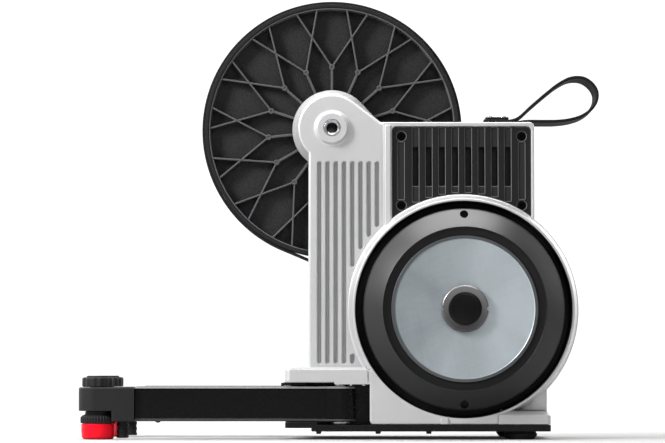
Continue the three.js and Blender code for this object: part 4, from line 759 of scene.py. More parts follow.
@finish
def bare_steel():
    """Turned or drawn steel: thin lines round the wheel axis over a faint haze."""
    metal = Finish("bare_steel", (0.55, 0.55, 0.57), 0.3, 0.95)
    marks = metal.lines(metal.radius_from(AXLE), 2400.0)
    metal.shade(marks * 0.6 + metal.noise(30, 3) * 0.4, 0.8, 1.12)
    metal.polish(marks * 0.15 + 0.2)
    metal.relief(marks, 0.12, 0.0002)
    return metal


@finish
def black_rubber():
    """Matt rubber with a faint bloom."""
    skin = Finish("black_rubber", (0.01, 0.01, 0.011), 0.75, specular_ior_level=0.12)
    grain = skin.noise(700, 3)
    skin.shade(grain * 0.5 + skin.noise(40, 3) * 0.5, 0.7, 1.5)
    skin.polish(grain * 0.14 + 0.62)
    skin.relief(grain, 0.25, 0.0004)
    return skin


@finish
def red_elastomer():
    """Glossy red elastomer with soft mould marks and scuffs near the floor."""
    skin = Finish("red_elastomer", colour("red"), 0.3, specular_ior_level=0.12)
    low = (1.0 - skin.axes()[2] / 0.004).clip()
    grain = skin.noise(500, 3)
    base_tone = skin.blend(grain, skin.tone(0.86), skin.tone(1.08))
    skin.tint(skin.blend(low * grain * 0.7, base_tone, (0.11, 0.02, 0.02)))
    skin.polish(grain * 0.1 + low * 0.3 + 0.26)
    skin.relief(grain, 0.08, 0.0003)
    return skin


@finish
def strap_skin():
    """Soft strap: fine lengthwise ribs across the width and a light grain."""
    skin = Finish("strap_skin", (0.012, 0.012, 0.013), 0.7, specular_ior_level=0.02)
    ribs = skin.ripple(1, 0.0016) * 0.5 + 0.5
    grain = skin.noise(900, 3)
    skin.shade(grain * 0.6 + ribs * 0.4, 0.7, 1.6)
    skin.polish(grain * 0.16 + 0.46)
    skin.relief(ribs * 0.5 + grain * 0.5, 0.25, 0.0004)
    return skin


@finish
def copper_winding():
    """Lacquered wire: one turn every 0.7 mm along the coil."""
    metal = Finish("copper_winding", (0.62, 0.24, 0.1), 0.3, 0.8, coat_weight=0.4, coat_roughness=0.15)
    wire = metal.ripple(1, 0.0007) * 0.5 + 0.5
    metal.shade(wire * 0.6 + metal.noise(60, 2) * 0.4, 0.45, 1.15)
    metal.polish(wire * 0.1 + 0.24)
    metal.relief(wire, 0.6, 0.0003)
    return metal


@finish
def circuit_board():
    """Solder mask over a pattern of tracks, with pale pads."""
    board = Finish("circuit_board", (0.006, 0.007, 0.007), 0.4, specular_ior_level=0.3)
    tracks = (board.ripple(0, 0.004) * board.ripple(2, 0.006)).size() > 0.72
    pads = board.cells(170) < 0.17
    mask = board.blend(tracks, (0.002, 0.0025, 0.0025), (0.004, 0.005, 0.005))
    board.tint(board.blend(pads, mask, (0.012, 0.011, 0.01)))
    board.polish(pads * 0.1 + 0.3)
    board.relief(tracks * 0.5 + pads, 0.3, 0.0002)
    return board


@finish
def floor_white():
    """Matt white paper that glows behind the object, and a little on the wall round it."""
    ground = Finish("floor_white", (0.4, 0.4, 0.4), 0.9, specular_ior_level=0.0, emission_strength=0.9)
    _, y, z = ground.axes()
    share = (((y - 0.15) * 1.2).clip() + (z * 2.0).clip() * 0.14).clip()
    ground.link(ground.blend(share, (0.02, 0.02, 0.02), (1.0, 1.0, 1.0)), "Emission Color")
    ground.shade(ground.noise(3, 2), 0.99, 1.01)
    return ground


# The casting

def ring_arc(radius, start, end, steps=48):
    """Part of a circle round the drum's axis, angles in degrees."""
    return arc(SPINDLE, radius, math.radians(start), math.radians(end), steps)


def ring_angle(radius, x=None, z=None):
    """Angle in degrees at which a circle round the drum's axis meets an upright or a level line."""
    if z is None:
        return math.degrees(math.acos((x - DRUM.x) / radius))
    return math.degrees(math.asin((z - DRUM.z) / radius))


def ring_run(radius, start, end, steps, half=1):
    """Part of that circle between two uprights: of its upper half, or its lower half with -1."""
    return ring_arc(radius, half * ring_angle(radius, x=start), half * ring_angle(radius, x=end), steps)


def touch_point(centre, radius, point):
    """Where the line from a point above right of a circle touches it."""
    dx, dz = point[0] - centre[0], point[1] - centre[1]
    angle = math.atan2(dz, dx) + math.acos(radius / math.hypot(dx, dz))
    return centre[0] + radius * math.cos(angle), centre[1] + radius * math.sin(angle)


def arm_outline(radius):
    """The arm seen from the side: foot, curve of the drum, shoulder, a head of that radius and the
    straight left edge."""
    neck = -math.pi + math.acos(-ARM.left / radius)
    curve = ring_arc(RING_MID, 180 - ring_angle(RING_MID, z=BED), ring_angle(RING_MID, x=ARM.right))
    corner = (TOWER.left_corner, TOWER.top)
    touch = touch_point(AXLE, radius, corner)
    first = math.atan2(touch[1] - AXLE_Z, touch[0])
    shoulder = rounded([(ARM.right, TOWER.top), (*corner, 3.0), touch], closed=False)
    crown = arc(AXLE, radius, first, neck + TAU, 96)
    return np.concatenate([curve, shoulder[:-1], crown, [(ARM.left, BED)]])


def flute_slots():
    """Upright slots in the arm's face that stop short of the drum's ring and of the platform."""
    slots = []
    for i in range(FLUTE.count):
        x = FLUTE.first + i * FLUTE.pitch
        half = math.sqrt(max(FLUTE.clear ** 2 - abs(x - DRUM.x) ** 2, 0.0))
        low = DRUM.z + half + 1.5 if half else FLUTE.foot
        slots.append(stadium(x, low, FLUTE.top, FLUTE.width))
        under = DRUM.z - half - 3.2
        if half and under - FLUTE.foot > 1.5 * FLUTE.width:
            slots.append(stadium(x, FLUTE.foot, under, FLUTE.width))
    return slots


def arm_shells():
    """The arm's face with its flutes, whose floor rises as the square of the distance from their
    middle, the flaring body behind it and the raised ring round the bore."""
    small, wide = ARM.head_face + 3.2, ARM.head
    floor = ARM.face + FLUTE.depth
    hole = circle(AXLE, BORE + FLUTE.width / 2, 64)
    edge = soft(ARM.face, floor, 3.2, steps=8)[:-1]
    deep = np.concatenate([edge[:, 0] - ARM.face, [3.5, 3.65, FLUTE.depth]])
    draw = np.concatenate([edge[:, 1], [0.0, 0.0, 0.0]])
    growth = FLUTE.width / 2 * (np.sqrt(1.0 - 0.93 * deep / FLUTE.depth) - 1.0)
    rows = np.column_stack([ARM.face + deep, draw, growth])
    face = prism(arm_outline(small), rows, holes=[*flute_slots(), hole])
    steps = ((0.0, 0.0), (1.2, 0.0), (8.7, 0.5), (14.7, 0.9), (16.2, 1.0), (ARM.back - floor, 1.0))
    backing = prism([arm_outline(small + (wide - small) * share) for _, share in steps],
                    [(floor + rise, 0.0) for rise, _ in steps], holes=[circle(AXLE, BORE, 64)])
    boss = lathe([
        (BORE, ARM.face + 1.0), (20.6, ARM.face + 1.0), (20.2, ARM.face - 0.3),
        (18.3, ARM.face - 0.9, 1.2), (ARM.boss + 0.2, -SPACING / 2, 1.0), (BORE, -SPACING / 2),
    ], AXLE, segments=128)
    return [face, backing, boss]


def tower_shells():
    """Front frame round the grille, raised band, walls, flare and heel: side views carried along Y."""
    right, top, side, back = TOWER.right, TOWER.top, TOWER.side, TOWER.back
    seam, inside, slot, join = ARM.right - 2.0, right - side, TOWER.slot, TOWER.join
    flare, low, edge = TOWER.flare_right, BASE.bottom + 1.0, right - 0.5
    front = np.concatenate([
        ring_run(RING_MID, right, GRILLE.right, 3),
        rounded([(GRILLE.right, join), (GRILLE.right, GRILLE.top, 5.0), (GRILLE.left, GRILLE.top, 5.0),
                 (GRILLE.left, join)], closed=False),
        ring_run(RING_MID, GRILLE.left, seam, 3),
        rounded([(seam, join), (seam, top), (right, top, TOWER.corner), (right, join)], closed=False),
    ])
    right_wall = rounded([(inside, BED), (right, BED), (right, top, TOWER.corner), (inside, top - 0.02)])
    left_wall = [(ARM.left, BED), (ARM.left + side, BED), (ARM.left + side, TOWER.left_inner),
                 (ARM.left, TOWER.left_top)]
    flare_back = rounded([(inside, low), (flare, low), (flare, TOWER.flare_foot, 6.0),
                          (right, TOWER.flare_top, 6.0), (inside, TOWER.flare_top)])
    flare_front = np.concatenate([ring_run(RING_MID, inside, flare, 8, -1), [(flare, low), (inside, low)]])
    heel = np.concatenate([
        ring_arc(RING_MID, ring_angle(RING_MID, z=BASE.rear_top), -ring_angle(RING_MID, x=edge), 12),
        [(edge, BASE.rear_top)]])
    wall_levels = soft(TOWER.wall_back - 1.0, back, 0.0, 0.8)
    return [prism(outline, levels) for outline, levels in (
        (front, soft(ARM.face, TOWER.wall_back, 1.1)),
        (panel(ARM.right + 0.3, TOWER.band_low, ARM.right + TOWER.band, top - 3.0),
         soft(ARM.face - TOWER.band_rise, ARM.face + 6.0, 1.3)),
        (right_wall, wall_levels),
        (panel(slot, top - side, right - 4.0, top), wall_levels),
        (panel(TOWER.left_corner - 2.0, top - side, slot + 1.0, top - 0.03),
         soft(TOWER.wall_back - 1.0, ARM.back, 0.0, 0.5)),
        (left_wall, soft(ARM.back - 1.0, back, 0.0, 0.8)),
        (panel(ARM.left + 1.0, BED - 0.4, right - 1.0, BED + side),
         soft(TOWER.wall_back - 1.0, back - 0.05, 0.0, 0.8)),
        (flare_back, soft(DRUM.floor + 0.5, back, 0.0, 1.0)),
        (flare_front, soft(ARM.face, DRUM.floor + 1.0, 1.4)),
        (heel, soft(ARM.face + 0.4, TOWER.wall_back + 0.5, 0.6)),
        (panel(BASE.rear - 6.0, BASE.rear_top, edge, BED + 0.5),
         soft(TOWER.wall_back, back - 0.1, 0.0, 0.8)),
    )]


def above_plate(shell):
    """The shell with nothing below the underside of the base."""
    verts, faces = shell
    verts[:, 2] = np.maximum(verts[:, 2], BASE.bottom + 0.2)
    return verts, faces


def drum_shells():
    """The dish round the flywheel: thin lip, flank that widens to the root, floor and bearing boss."""
    floor, back = DRUM.floor + 0.4, TOWER.wall_back
    return [above_plate(lathe([
        (12.0, floor), (DRUM.inner, floor), (DRUM.inner, DRUM.lip, 0.7), (DRUM.outer, DRUM.lip, 1.0),
        (DRUM.root - 0.6, ARM.face - 1.2, 4.0), (DRUM.root + 0.9, ARM.face - 0.1, 0.8),
        (DRUM.root + 0.9, back, 1.0), (26.0, back, 2.0), (26.0, back + 15.0, 0.8), (12.0, back + 15.0),
    ], SPINDLE, segments=288))]


def base_shells():
    """The sill that hugs the drum, its long body, the low rear block, a rib and the front shoulder:
    side views carried along Y, and for the block a plan drawn in as it rises along Z."""
    half, bottom, left = BASE.half, BASE.bottom, BASE.left
    mid, bed, bend = (DRUM.inner + DRUM.outer) / 2, BED - 0.5, 4.0
    start = ring_angle(mid, z=bed)
    end_x, edge, ceiling = BASE.rear + 2.0, left - 3.0, BASE.front_under
    sill_face = np.concatenate([
        rounded([(edge, ceiling - bend), (edge, bottom, bend), (end_x, bottom)], closed=False),
        ring_arc(mid, -ring_angle(mid, x=end_x), -90.0, 12)[:-1],
        ring_arc(mid, -90.0, -180.0 - start, 40),
        [(edge - bend, bed)],
        arc((edge - bend, ceiling - bend), bend, QUARTER, 0.0, 8)[:-1],
    ])
    front_sill = prism(sill_face, soft(DRUM.lip, ARM.face + 4.0, 1.6))
    sill = prism(panel(left, bottom, BASE.rear, BED), soft(TOWER.wall_back, half, 0.0, 2.0))
    rear_top, slope, flank = BASE.rear_top, BASE.slope_top, half - 0.03
    block = prism(panel(BASE.block_left, -flank, BASE.right, flank, 2.0, 5.0, 5.0, 2.0), [
        (bottom, 0.6), (bottom + 0.6, 0.0), (rear_top - 0.6, 0.0), (rear_top + 0.5, 0.5),
        (rear_top + 2.2, 2.2), (slope - 1.0, 5.2), (slope - 0.2, 6.6), (slope, 8.0)], axis="Z")
    rib_left, rib_right = BASE.rib - BASE.rib_half, BASE.rib + BASE.rib_half
    rib = prism(panel(rib_left, bottom, rib_right, BASE.rib_top, 0.0, 0.0, 1.0, 1.0),
                soft(DRUM.lip - 2.0, ARM.face, 1.2))
    crown = ring_angle(mid, z=BASE.top)
    shoulder = prism(np.concatenate([
        ring_arc(mid, 180.0 - crown, 180.0 - start, 4), [(left - 6.0, bed), (left - 6.0, BASE.top)]]),
        soft(DRUM.lip + 2.5, ARM.face + 4.0, 0.9))
    return [front_sill, sill, block, rib, shoulder]


def column_shells():
    """The column between the legs, under the platform; it is given a black finish as painted shade."""
    plan = panel(BASE.column_left, -BASE.column, BASE.left + 5.0, BASE.column, 4.0, 0.0, 0.0, 4.0)
    return [prism(plan, soft(BASE.bottom, BED - 0.1), axis="Z")]


def stud_shells():
    """Three small heads in a row under each long edge of the platform."""
    low, root = BASE.stud_low, BASE.under + 0.6
    profile = [(0.0, low), (1.5, low, 0.5), (1.7, root), (0.0, root)]
    return [lathe(profile, (x, side * (BASE.half - 2.0)), axis="Z", segments=24)
            for side, _ in SIDES for x in BASE.studs]


def platform_shells():
    """The plate over the legs: flat bottom, deeper under its back, stepped and rounded top edge."""
    left, right, half, back = BASE.plat_left, BASE.rear, BASE.half, DRUM.floor + 0.5
    notch, top, under = BASE.left - 4.5, BASE.top, BASE.front_under
    plan = rounded([(left, -half, 7.0), (notch, -half), (notch, back), (right, back), (right, half, 1.5),
                    (left, half, 7.0)])
    plate = prism(plan, [
        (under, 0.9), (under + 0.9, 0.0), (BED - 1.0, 0.0), (BED - 0.2, 0.25), (BED, 0.9),
        (BED + 0.1, 2.0), (top - 0.9, 2.5), (top - 0.2, 2.9), (top, 3.6)], axis="Z")
    flank = half - 0.05
    deeper = prism(panel(BASE.under_from, -flank, BASE.left + 1.0, flank, 1.0, 0.0, 0.0, 1.0),
                   soft(BASE.under, under + 1.5, 0.7), axis="Z")
    return [plate, deeper]


def liner_shells():
    """Black inside of the dish, which stays clear of the flywheel."""
    wall, floor, lip = DRUM.inner - 0.05, DRUM.floor, DRUM.lip + 0.9
    return [above_plate(lathe([
        (24.0, floor + 0.2), (wall, floor + 0.2), (wall, lip, 0.3), (wall - 0.8, lip, 0.3),
        (wall - 0.8, floor - 0.8, 2.0), (24.0, floor - 0.8)], SPINDLE, segments=288))]


# The belt wheel

def on_wheel(radius, angle):
    """A point on a circle round the axle."""
    return radius * math.cos(angle), AXLE_Z + radius * math.sin(angle)


def bar(start, end, width, levels):
    """A straight rib between two points of the wheel's plane."""
    a, b = np.array(start, float), np.array(end, float)
    way = (b - a) / np.linalg.norm(b - a)
    side = np.array([-way[1], way[0]]) * width / 2
    return prism(np.array([a + side, a - side, b - side, b + side]), levels)


def wheel_shells():
    """Hub, web and rim turned from one profile, and ribs shaped as a Y: at even angles a spoke runs
    from the hub to a small boss, where it splits in two that meet the rim."""
    w = WHEEL
    shells = [lathe([
        (w.bore, w.hub_near), (w.hub, w.hub_near, 0.8), (w.hub, w.web_near, 1.6), (w.lip, w.web_near, 1.2),
        (w.lip, w.near + 1.0, 0.4), (w.lip + 2.0, w.near + 1.0), (w.lip + 2.0, w.near, 0.3),
        (w.rim, w.near, 0.5), (w.rim, w.far, 0.5), (w.lip, w.far, 0.5), (w.lip, w.web_far, 1.2),
        (w.hub, w.web_far, 1.6), (w.hub, w.hub_far, 0.8), (w.bore, w.hub_far),
    ], AXLE, segments=320)]
    root, crest = w.web_near + 1.0, w.web_near - 10.0
    levels = soft(crest, root, 0.7)
    boss = [(1.3, root), (3.3, root), (3.1, crest - 0.5, 0.5), (1.3, crest - 0.5, 0.3)]
    for i in range(w.ribs):
        angle = QUARTER + i * TAU / w.ribs
        node = on_wheel(w.node, angle)
        shells.append(bar(on_wheel(w.hub - 2.0, angle), node, 2.9, levels))
        for turn in (-w.spread, w.spread):
            shells.append(bar(node, on_wheel(w.lip + 0.8, angle + turn), 2.0, levels))
        shells.append(lathe(boss, node, segments=28, steps=3))
    return shells


def belt_shells():
    """A flat belt round wheel and pulley: two arcs joined by the outer tangents."""
    pitch = BELT.pitch
    small = pitch / BELT.ratio
    dx, dz = DRUM.x, DRUM.z - AXLE_Z
    heading = math.atan2(dz, dx)
    lean = math.acos((pitch - small) / math.hypot(dx, dz))
    outer, inner = [np.concatenate([
        arc(AXLE, pitch + offset, heading + lean, heading - lean + TAU, 240),
        arc(SPINDLE, small + offset, heading - lean, heading + lean, 32),
    ]) for offset in (BELT.half, -BELT.half)]
    return [prism(outer, soft(BELT.near, BELT.far, 0.5, 0.5), holes=[inner])]


def axle_shells():
    """The through axle's tube, open at both ends, with a coarse thread along its bore."""
    t = TUBE
    rows = [(t.outer, -t.end + 0.3), (t.outer, t.end - 0.3), (t.chamfer, t.end)]
    for k in range(t.turns):
        h = t.end - (k + 0.5) * t.pitch
        rows += [(t.bore, h + t.pitch * 0.45), (t.bore, h), (t.groove, h - 0.1),
                 (t.groove, h - t.pitch * 0.5)]
    rows += [(t.bore, -t.end), (t.chamfer, -t.end)]
    return [turned(rows, AXLE, segments=96)]


def adaptor_shells(side):
    """End ring of the axle: chamfered mouth, shallow serrated face and a step."""
    bore, radius = END_RING.bore, END_RING.near if side < 0 else END_RING.far
    out = side * SPACING / 2
    back = out - side * END_RING.depth
    return [lathe([
        (bore, back), (radius, back, 0.4), (radius, out - side * 0.6, 0.2), (radius - 0.7, out, 0.2),
        (END_RING.mouth, out, 0.2), (bore, out - side * 1.1)], AXLE, segments=96)]


def freehub_shells():
    """Nine deep grooves along the body, a plain collar behind and a fine thread at the end."""
    near, far, radius, deep, bore = FREEHUB.near, FREEHUB.far, FREEHUB.radius, FREEHUB.deep, FREEHUB.bore
    rows = [(bore, near), (radius - 0.3, near), (radius, near + 0.4), (radius, near + 3.0),
            (radius, near + 3.2, deep), (radius, far - 6.5, deep), (radius - 1.95, far - 6.3)]
    for k in range(6):
        h = far - 6.0 + k
        rows += [(radius - 2.3, h), (radius - 1.95, h + 0.5)]
    rows += [(radius - 2.6, far), (bore, far)]
    return [turned(rows, AXLE, segments=360, wave=teeth(FREEHUB.grooves, 0.45, 14.0))]


# The flywheel

def flywheel_shells():
    """Ring with a cone on its front, a recess for the disc and a hub behind, turned as one."""
    f = FLY
    floor, end = f.seat + 12.0, f.seat + f.hub_length
    return [lathe([
        (f.bore, f.seat), (f.disc + 0.3, f.seat, 0.2), (f.disc + 0.3, f.recess, 0.3),
        (f.face - 0.7, f.recess, 0.6), (f.face - 0.7, f.front + 0.3, 0.3), (f.face, f.front, 0.5),
        (f.outer - 0.6, f.shoulder - 0.2, 1.2), (f.outer, f.shoulder + 1.0, 1.0), (f.outer, f.back, 1.5),
        (f.inner, f.back, 1.0), (f.inner, floor, 2.0), (f.hub, floor, 1.0), (f.hub, end, 0.6), (f.bore, end),
    ], SPINDLE, segments=320)]


def balance_holes():
    """Cutters for the two blind holes in the flywheel's cone, at its top and bottom."""
    profile = [(0.0, -125.0), (FLY.hole, -125.0), (FLY.hole, -84.0), (0.0, -83.0)]
    return [lathe(profile, centre, segments=40) for centre in HOLE_CENTRES]


def disc_shells():
    """Flat disc with a slightly raised rim, turned."""
    near, far, disc = DISC_NEAR, FLY.seat - GAP, FLY.disc
    return [lathe([
        (FLY.disc_bore, far), (FLY.disc_bore, near, 0.2), (disc - 4.3, near, 0.25),
        (disc - 3.6, near - 0.8, 0.35), (disc - 0.5, near - 0.8, 0.4), (disc, near - 0.2, 0.3),
        (disc, far, 0.3),
    ], SPINDLE, segments=288)]


def notches(angle):
    """1 in two narrow notches on the left and the right, 0 elsewhere."""
    across = np.abs(np.sin(angle)) * FLY.nut
    return 1 / (1 + np.exp((across - 2.0) * 9.0))


def nut_shells():
    """Round nut with a rounded edge and two notches, whose depth each level of the profile sets."""
    near, far, nut, bore = NUT_NEAR, DISC_NEAR - GAP, FLY.nut, FLY.nut_bore
    return [turned([
        (bore, far), (nut - 0.3, far, 2.5), (nut, far - 0.3, 2.5), (nut, near + 1.6, 2.5),
        (nut - 0.25, near + 0.9, 2.4), (nut - 0.9, near + 0.3, 2.0), (nut - 1.7, near, 1.4),
        (21.0, near), (20.4, near + 0.25), (15.2, near + 0.25), (bore, near + 0.8),
    ], SPINDLE, segments=480, wave=notches)]


def cap_shells():
    """Round cap in the nut's bore, with a soft rim round a shallow dome."""
    near, cap, shank = NUT_NEAR, FLY.cap, FLY.cap_shank
    return [lathe([
        (0.0, near + 3.0), (shank, near + 3.0, 0.4), (shank, near - 0.25, 0.1), (cap, near - 0.25, 0.2),
        (cap, near - 1.4, 0.9), (cap - 3.4, near - 2.2, 2.0), (cap - 4.6, near - 1.9, 0.8),
        (6.0, near - 2.6, 6.0), (0.0, near - 2.8),
    ], SPINDLE, segments=128)]


# Grille, cover and inlet

def grille_outline():
    """Rounded rectangle whose lower edge follows the ring of the drum."""
    radius = DRUM.root + 1.2
    left, right, top = GRILLE.left + GAP, GRILLE.right - GAP, GRILLE.top - GAP
    join = GRILLE.join
    sides = rounded([(right, join), (right, top, 5.0), (left, top, 5.0), (left, join)], closed=False)
    return np.concatenate([ring_run(radius, left, right, 64), sides])


def grille_shells():
    """Front layer with rounded edges, pierced by grooves that end above the drum and by the screws'
    round recesses, and a back layer pierced by the shorter vents."""
    near, back, edge = GRILLE.near, GRILLE.back, SIDE_GROOVE
    floor, ring = near + GRILLE.layer, DRUM.root + 3.5
    upright = lambda x, low, high, width: panel(x - width / 2, low, x + width / 2, high, 0.6, steps=2)
    centres = [GRILLE.first + i * GRILLE.pitch for i in range(GRILLE.count)]
    lows = [max(GRILLE.groove_low, DRUM.z + math.sqrt(ring ** 2 - (x - DRUM.x) ** 2)) for x in centres]
    grooves = [upright(x, low, GRILLE.groove_top, GRILLE.width) for x, low in zip(centres, lows)]
    grooves += [upright(x, edge.low, edge.high, edge.width)
                for x in (GRILLE.left + edge.away, GRILLE.right - edge.away)]
    vents = [upright(x, GRILLE.vent_low, GRILLE.vent_high, GRILLE.width - 0.6) for x in centres]
    for i in range(1, 5):
        low, high = node_span(f"grille_screw_{i}")
        grooves.append(circle(((low + high) / 2)[[0, 2]], GRILLE.recess, 40))
    outline = grille_outline()
    return [prism(outline, soft(near, floor, 0.8), holes=grooves, hole_share=0.9),
            prism(outline, soft(floor, back), holes=vents)]


def screw_shells(x, z, near, radius, height, socket, along="Y", away=-1.0):
    """A low domed head with a hexagon socket; away is the side it faces along its axis."""
    profile = (
        (0.0, height), (radius - 0.2, height), (radius, height - 0.2), (radius, height * 0.45),
        (radius * 0.93, height * 0.22), (radius * 0.78, height * 0.08), (radius * 0.62, 0.0),
        (socket + 0.15, 0.0, socket), (socket, 0.12, socket), (socket, height * 0.62, socket),
        (0.0, height * 0.66),
    )
    rows = [(r, near - away * depth, *sink) for r, depth, *sink in profile]
    return turned(rows, (x, z), axis=along, segments=48, wave=hexagon)


def cover_outline():
    """Side cover: a box with rounded corners whose upper left is cut out round the axle."""
    left, right, top, low = ARM.left, TOWER.right, TOWER.top, BASE.top + GAP
    start = math.asin((top - AXLE_Z) / COVER.radius)
    end = -math.pi + math.acos(-left / COVER.radius)
    return np.concatenate([arc(AXLE, COVER.radius, start, end, 72), rounded([
        (left, COVER.left_top), (left, low, 5.0), (right, low, 3.0), (right, top, 5.0),
        (COVER.cut, top)], closed=False)])


def cover_shells():
    """The cover's box with rounded far edges and seven low bars in the middle of its far face."""
    near = TOWER.back + GAP
    far = near + COVER.depth
    shells = [prism(cover_outline(), soft(near, far, 0.6, 4.0, 6))]
    mid, half = (TOWER.right + ARM.left) / 2, (TOWER.right - ARM.left) / 2 - COVER.margin
    for i in range(COVER.bars):
        z = DRUM.z + (i - COVER.bars // 2) * COVER.pitch
        shells.append(prism(panel(mid - half, z - COVER.bar, mid + half, z + COVER.bar, 1.1),
                            soft(far - 1.0, far + 1.0, 0.0, 0.6)))
    return shells


def inlet_shells():
    """Round power socket in the right wall: flange, mouth and centre pin."""
    wall = TOWER.right
    body = lathe([
        (3.2, wall - 10.0), (7.0, wall - 16.0), (7.0, wall, 0.3), (9.5, wall + 0.1, 0.2),
        (9.5, wall + 1.8, 0.8), (4.0, wall + 1.8, 0.3), (3.2, wall + 0.9, 0.2),
    ], INLET, axis="X", segments=72)
    pin = lathe([(0.0, wall - 12.0), (1.0, wall - 12.0), (1.0, wall - 1.2, 0.3), (0.0, wall - 0.8)],
                INLET, axis="X", segments=24)
    return [body, pin]


# Strap

def spline(points, count):
    """Centripetal Catmull-Rom curve through the points, resampled at even arc length."""
    p = np.asarray(points, float)
    p = np.concatenate([[2 * p[0] - p[1]], p, [2 * p[-1] - p[-2]]])
    out = []
    for i in range(1, len(p) - 2):
        level = list(p[i - 1:i + 3])
        knots = np.concatenate([[0.0], np.cumsum(np.linalg.norm(np.diff(level, axis=0), axis=1) ** 0.5)])
        t = np.linspace(knots[1], knots[2], 24, endpoint=False)[:, None]
        for spans in (((0, 1), (1, 2), (2, 3)), ((0, 2), (1, 3)), ((1, 2),)):
            level = [(knots[b] - t) / (knots[b] - knots[a]) * level[k]
                     + (t - knots[a]) / (knots[b] - knots[a]) * level[k + 1]
                     for k, (a, b) in enumerate(spans)]
        out.append(level[0])
    line = np.concatenate(out + [p[-2:-1]])
    run = np.concatenate([[0.0], np.cumsum(np.linalg.norm(np.diff(line, axis=0), axis=1))])
    even = np.linspace(0.0, run[-1], count)
    return np.stack([np.interp(even, run, line[:, k]) for k in range(line.shape[1])], -1)


def strap_shells():
    """A flat section carried along its bent route, whose far edge is sheared left and down. The
    shear grows as the smooth step 3t^2 - 2t^3 of the way off the clamp, at both ends."""
    s = STRAP
    lower = TOWER.top + GAP + s.thick / 2
    upper = lower + s.thick + s.layer
    reach = s.reach - s.thick / 2 - s.right
    stops = (s.left, (s.left + s.right) / 2, s.right)
    line = spline([*((x, upper) for x in stops),
                   *((s.right + u * reach, lower + v * s.height) for u, v in STRAP_ROUTE_SHARES),
                   *((x, lower) for x in stops[::-1])], s.samples)
    way = np.gradient(line, axis=0)
    way /= np.linalg.norm(way, axis=1, keepdims=True)
    centres = np.stack([line[:, 0], np.full(len(line), s.y), line[:, 1]], -1)
    up = np.stack([-way[:, 1], np.zeros(len(line)), way[:, 0]], -1)
    half, flat = s.width / 2, size("strap_thickness") / 2
    share = np.linspace(0.0, 1.0, len(line))[:, None]
    rise = ((np.minimum(share, 1.0 - share) - 0.1) / 0.12).clip(0.0, 1.0)
    shear = rise * rise * (3.0 - 2.0 * rise) * np.array(s.shear) / s.width
    across = np.array([[0.0, 1.0, 0.0]]) + shear
    return [swept(centres + shear * half, across, up, panel(-half, -flat, half, flat, 1.3))]


def clamp_shells():
    """Flat bar over the strap's ends, with a rounded upper edge."""
    s = STRAP
    half = s.width / 2 - s.margin
    plan = panel(s.left + s.margin, s.y - half, s.right - s.margin, s.y + half, 2.5)
    return [prism(plan, soft(CLAMP_LOW, CLAMP_LOW + s.clamp, 0.2, 0.7), axis="Z")]


def strap_screw_shells(x):
    """One of the two domed screws on the clamp, facing up."""
    top = CLAMP_LOW + STRAP.clamp + STRAP.head
    return [screw_shells(x, STRAP.y, top, 4.0, STRAP.head + 0.3, 1.9, along="Z", away=1.0)]


# Base plate and feet

def base_plate_shells():
    """Flat slab with a pad under each leg root and three small studs under each long edge."""
    half, p = BASE.half, PLATE
    shells = [prism(panel(p.left, -half, BASE.right, half, 3.0, 5.0, 5.0, 3.0),
                    soft(p.low, p.high, 1.0, 0.5), axis="Z")]
    stud = [(0.0, p.stud_low), (2.6, p.stud_low, 0.6), (3.2, p.low + 0.6), (0.0, p.low + 0.6)]
    for side, _ in SIDES:
        front, back = sorted((side * half, side * (half - p.pad)))
        shells.append(prism(panel(p.pad_left, front + 0.05, p.pad_right, back, 4.0, 0.0, 1.0, 4.0),
                            soft(p.pad_low, p.pad_high, 0.8, 0.8), axis="Z"))
        for x in p.studs:
            shells.append(lathe(stud, (x, side * (half - p.stud_in)), axis="Z", segments=40))
    return shells


def rear_foot_shells(side):
    """Round rubber foot with a soft lower edge and a shallow ring near its rim."""
    radius = REAR_FOOT.radius
    return [lathe([
        (0.0, 0.4), (11.0, 0.4), (12.0, 0.0, 0.4), (radius - 3.6, 0.0, 2.0), (radius, 4.4, 3.2),
        (radius, 6.3, 0.4), (radius - 1.0, 6.9, 0.3), (radius - 1.0, 8.4, 0.3), (0.0, 8.4),
    ], (REAR_FOOT.x, side * REAR_FOOT.y), axis="Z", segments=128)]


# Legs

def tube_shells(side):
    """Closed box tube whose sides are drawn in between a lower and an upper band; the upper edge is
    a quarter circle as high as the band."""
    low, high, band = LEG.low, LEG.high, size("leg_band")
    half, depth, bevel = LEG.width / 2, LEG.recess, LEG.bevel
    y = side * LEG.y
    levels = [
        (low, bevel), (low + 0.35, 0.45), (low + bevel, 0.0), (low + band - 0.3, 0.0),
        (low + band + 0.1, 0.25), (low + band + 0.6, depth), (high - band - 0.6, depth),
        (high - band - 0.1, 0.2),
    ]
    bend = np.linspace(0.15, 1.0, 7) * math.pi / 2
    levels += [(high - band * (1 - math.sin(t)), band * (1 - math.cos(t))) for t in bend]
    tube = prism(panel(LEG.end, y - half, LEG.pivot, y + half), levels, axis="Z")
    root = prism(np.concatenate([
        arc((LEG.pivot, y), LEG.root, -QUARTER, QUARTER, 40),
        [(LEG.root_left, y + half + 0.3), (LEG.root_left, y - half - 0.3)]]),
        soft(low, high, bevel, 1.6), axis="Z")
    rivet = lathe([
        (0.0, low - 1.5), (1.6, low - 1.4, 0.5), (2.9, low - 0.3), (2.9, low + 0.6), (0.0, low + 0.6),
    ], (LEG.rivet, y + side * (half - LEG.rivet_in)), axis="Z", segments=32)
    return [tube, root, rivet]


